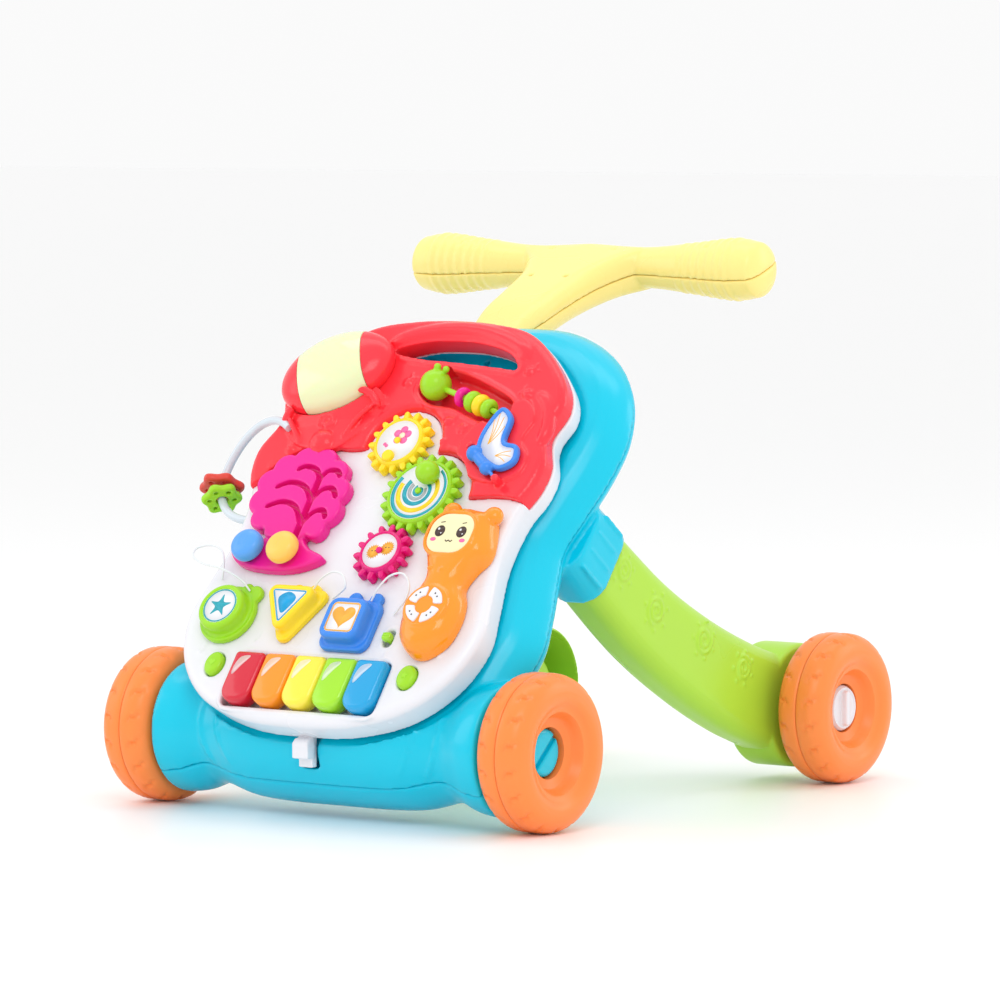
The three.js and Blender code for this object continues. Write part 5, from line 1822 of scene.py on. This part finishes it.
def along_rod(distance):
    """A place for something spun about the bead rod."""
    across = np.array([-ROD_WAY[1], ROD_WAY[0], 0.0])

    def place(p):
        centre = ROD_START + ROD_WAY * distance
        return on_panel(
            centre + np.outer(p[:, 2], ROD_WAY) + np.outer(p[:, 0], across)
            + np.outer(p[:, 1], [0.0, 0.0, 1.0])
        )

    return place


class WALKER_OT_bead_bug(bpy.types.Operator):
    """Bead bug: a ball head with horns, a bent rod and four beads"""

    bl_idname = "walker.bead_bug"
    bl_label = "Bead bug"

    def execute(self, context):
        head = [ball(12.5, 11, 305.5, 7, 1, 48)]
        for x, s, r in ((12, 317.5, 3.0), (21, 315.5, 2.8)):
            head.append(ball(r, x, s, 14.5, 1, 20))
            head.append(
                tube(
                    [(11 + (x - 11) * 0.5, 305.5 + (s - 305.5) * 0.6, 11), (x, s, 14.5)], 1.8, sides=12,
                    count=10
                )
            )
        mesh = carve("bead_bug_ball", head, [disc(14, 304.5, 5.5, -16, 1.8)], 0.7 * MM, 3)
        piece("bead_bug_ball", mesh, "panel", toy("lime"), ["bead_bug_head"], crease=None)
        rod = [
            tube(
                [
                    (14, 304.5, -4), (18, 303.1, 5), (26, 300.5, 7), (60, 289.1, 7), (78, 283, 6),
                    (84, 281, -2)
                ],
                2.4, sides=20, count=80
            )
        ]
        piece("bead_bug_rod", rod, "panel", toy("lime"), ["bead_rod"])
        plans = (
            ("bead_magenta", 29, 3.4, 8.0, "magenta", "magenta_tree"),
            ("bead_green", 41, 4.3, 8.6, "lime", "lime_toy"),
            ("bead_yellow", 50.4, 4.3, 8.8, "yellow", "yellow_toy"),
            ("bead_tail_green", 59.6, 4.2, 8.0, "lime", "lime_toy"),
        )
        for name, at, thick, radius, colour, slot in plans:
            crown = []
            for k in range(13):
                a = math.pi * (k / 12 - 0.5)
                crown.append((radius - thick * 0.9 + thick * 0.9 * math.cos(a), thick * math.sin(a)))
            ring = np.arange(48) / 48 * 2 * math.pi
            profile = [(2.9, -thick + 0.4), (3.6, -thick), *crown, (3.6, thick), (2.9, thick - 0.4)]
            points = np.vstack(
                [np.column_stack([r * np.cos(ring), r * np.sin(ring), np.full(48, z)]) for r, z in profile]
            )
            faces, count = [], len(profile)
            for r in range(count):
                for i in range(48):
                    j = (i + 1) % 48
                    faces.append(
                        (r * 48 + i, r * 48 + j, ((r + 1) % count) * 48 + j, ((r + 1) % count) * 48 + i)
                    )
            solid = outwards(along_rod(at)(points), faces)
            piece(name + "_ring", [solid], name, toy(colour), [name])
        return {"FINISHED"}


class WALKER_OT_butterfly(bpy.types.Operator):
    """Butterfly flap: rimmed wings with a printed fan, a ball head and a two-lobed body"""

    bl_idname = "walker.butterfly"
    bl_label = "Butterfly"

    def execute(self, context):
        h = 12.6
        add = [layered(WING, [(0.6, h - 4), (0, h - 3), (0, h - 0.9), (0.5, h - 0.2), (1.3, h)])]
        add.append(closed_tube(WING, 2.0, h + 0.1, 1.9, 12))
        add.append(ball(6.6, 79, 241.5, h, 0.95, 36))
        add.append(tube([(80, 240.5, h), (88, 234.5, h), (99, 226, h)], 4.4, sides=20, count=24, taper=4))
        add.append(ball(5.8, 95.5, 229, h, 0.95, 32))
        add.append(tube([(68.8, 248.9, h), (108.4, 219.2, h)], 1.5, sides=12, count=8))
        mesh = carve("butterfly_flap", add, [], 0.65 * MM, 3)
        piece("butterfly_flap", mesh, "butterfly", toy("blue"), ["butterfly"], crease=None)
        label("butterfly_print", [slab(inset(WING, 3.6), h - 0.5, h + 0.45)], "butterfly", "white")
        fans = []
        for x, s in ((84, 275), (88, 278), (93, 275), (97, 267)):
            fans.append(
                tube(
                    [(88, 250, h + 0.45), ((88 + x) / 2 + 1.2, (250 + s) / 2, h + 0.45), (x, s, h + 0.45)],
                    0.32, sides=6, count=20
                )
            )
        for x, s in ((112, 245), (113.5, 240), (110, 235)):
            fans.append(
                tube(
                    [(99, 240, h + 0.45), ((99 + x) / 2, (240 + s) / 2 + 1, h + 0.45), (x, s, h + 0.45)],
                    0.32, sides=6, count=20
                )
            )
        label("butterfly_fan", fans, "butterfly", "sun_print")
        return {"FINISHED"}


class WALKER_OT_side_bar(bpy.types.Operator):
    """Curved bar at the panel's left side with two petal rings"""

    bl_idname = "walker.side_bar"
    bl_label = "Side bar"

    def execute(self, context):
        line = side_bar_points()
        bar = plastic("bar_pale", PALETTE["pale"], roughness=0.16, scuff=0.02, coat=0.3)
        piece(
            "side_bar_rod", [tube(line, 3.4, sides=24, count=120)], "panel", bar, ["side_arc_bar"]
        )
        dense = curve_through(line, 400, closed=False)
        heading = np.degrees(np.arctan2(dense[:, 1] - 228, dense[:, 0] + 135)) % 360
        for name, angle, colour, slot, radius in (
            ("ring_red", 196, "ring_red", "ring_red", 17),
            ("ring_green", 212, "lime", "lime_toy", 15),
        ):
            i = int(np.argmin(np.abs(heading - angle)))
            way = Vector(dense[i + 3] - dense[i - 3]).normalized()
            spin = np.array(Vector((0, 0, 1)).rotation_difference(way).to_matrix())
            a = np.arange(96) / 96 * 2 * math.pi
            r = radius * (1 + 0.09 * np.cos(6 * a))
            loop = np.column_stack([r * np.cos(a), r * np.sin(a)])

            def place(p, spin=spin, centre=dense[i]):
                return on_panel(np.asarray(p, float) @ spin.T + centre)

            body = layered(
                loop, [(1.8, -3), (0.8, -2.6), (0.2, -1.7), (0, 0), (0.2, 1.7), (0.8, 2.6), (1.8, 3)], place
            )
            hole = slab(ellipse(0, 0, 5, 5, 40), -9, 9, place=place)
            dimples = [
                slab(
                    ellipse(0.66 * radius * math.cos(b), 0.66 * radius * math.sin(b), 1.8, 1.8, 20), -9, 9,
                    place=place
                )
                for b in np.arange(6) * math.pi / 3
            ]
            mesh = carve(name + "_petals", [body], [hole, *dimples], 0.7 * MM, 3)
            piece(name + "_petals", mesh, name, toy(colour), [name], crease=None)
        return {"FINISHED"}


# ---------------------------------------------------------------- add-on


OPERATORS = (
    WALKER_OT_stage,
    WALKER_OT_ties,
    WALKER_OT_chassis,
    WALKER_OT_legs,
    WALKER_OT_handle,
    WALKER_OT_wheels,
    WALKER_OT_tray,
    WALKER_OT_cover,
    WALKER_OT_lamp,
    WALKER_OT_tree,
    WALKER_OT_gears,
    WALKER_OT_keys,
    WALKER_OT_blocks,
    WALKER_OT_phone,
    WALKER_OT_buttons,
    WALKER_OT_bead_bug,
    WALKER_OT_butterfly,
    WALKER_OT_side_bar,
)


class WALKER_PT_pieces(bpy.types.Panel):
    """Buttons that build the walker's pieces"""

    bl_idname = "WALKER_PT_pieces"
    bl_label = "Baby walker"
    bl_space_type = "VIEW_3D"
    bl_region_type = "UI"
    bl_category = "Walker"

    def draw(self, context):
        layout = self.layout
        for group in (context.scene.walker_sizes, context.scene.walker_colours):
            for name in group.bl_rna.properties.keys():
                if name not in ("rna_type", "name"):
                    layout.prop(group, name)
        for operator in OPERATORS:
            layout.operator(operator.bl_idname)


CLASSES = (WALKER_colours, WALKER_sizes, *OPERATORS, WALKER_PT_pieces)


def register():
    for cls in CLASSES:
        bpy.utils.register_class(cls)
    bpy.types.Scene.walker_sizes = PointerProperty(type=WALKER_sizes)
    bpy.types.Scene.walker_colours = PointerProperty(type=WALKER_colours)


def unregister():
    del bpy.types.Scene.walker_colours
    del bpy.types.Scene.walker_sizes
    for cls in reversed(CLASSES):
        bpy.utils.unregister_class(cls)


def main():
    register()
    for operator in OPERATORS:
        group, name = operator.bl_idname.split(".")
        getattr(getattr(bpy.ops, group), name)()


if __name__ == "__main__":
    main()
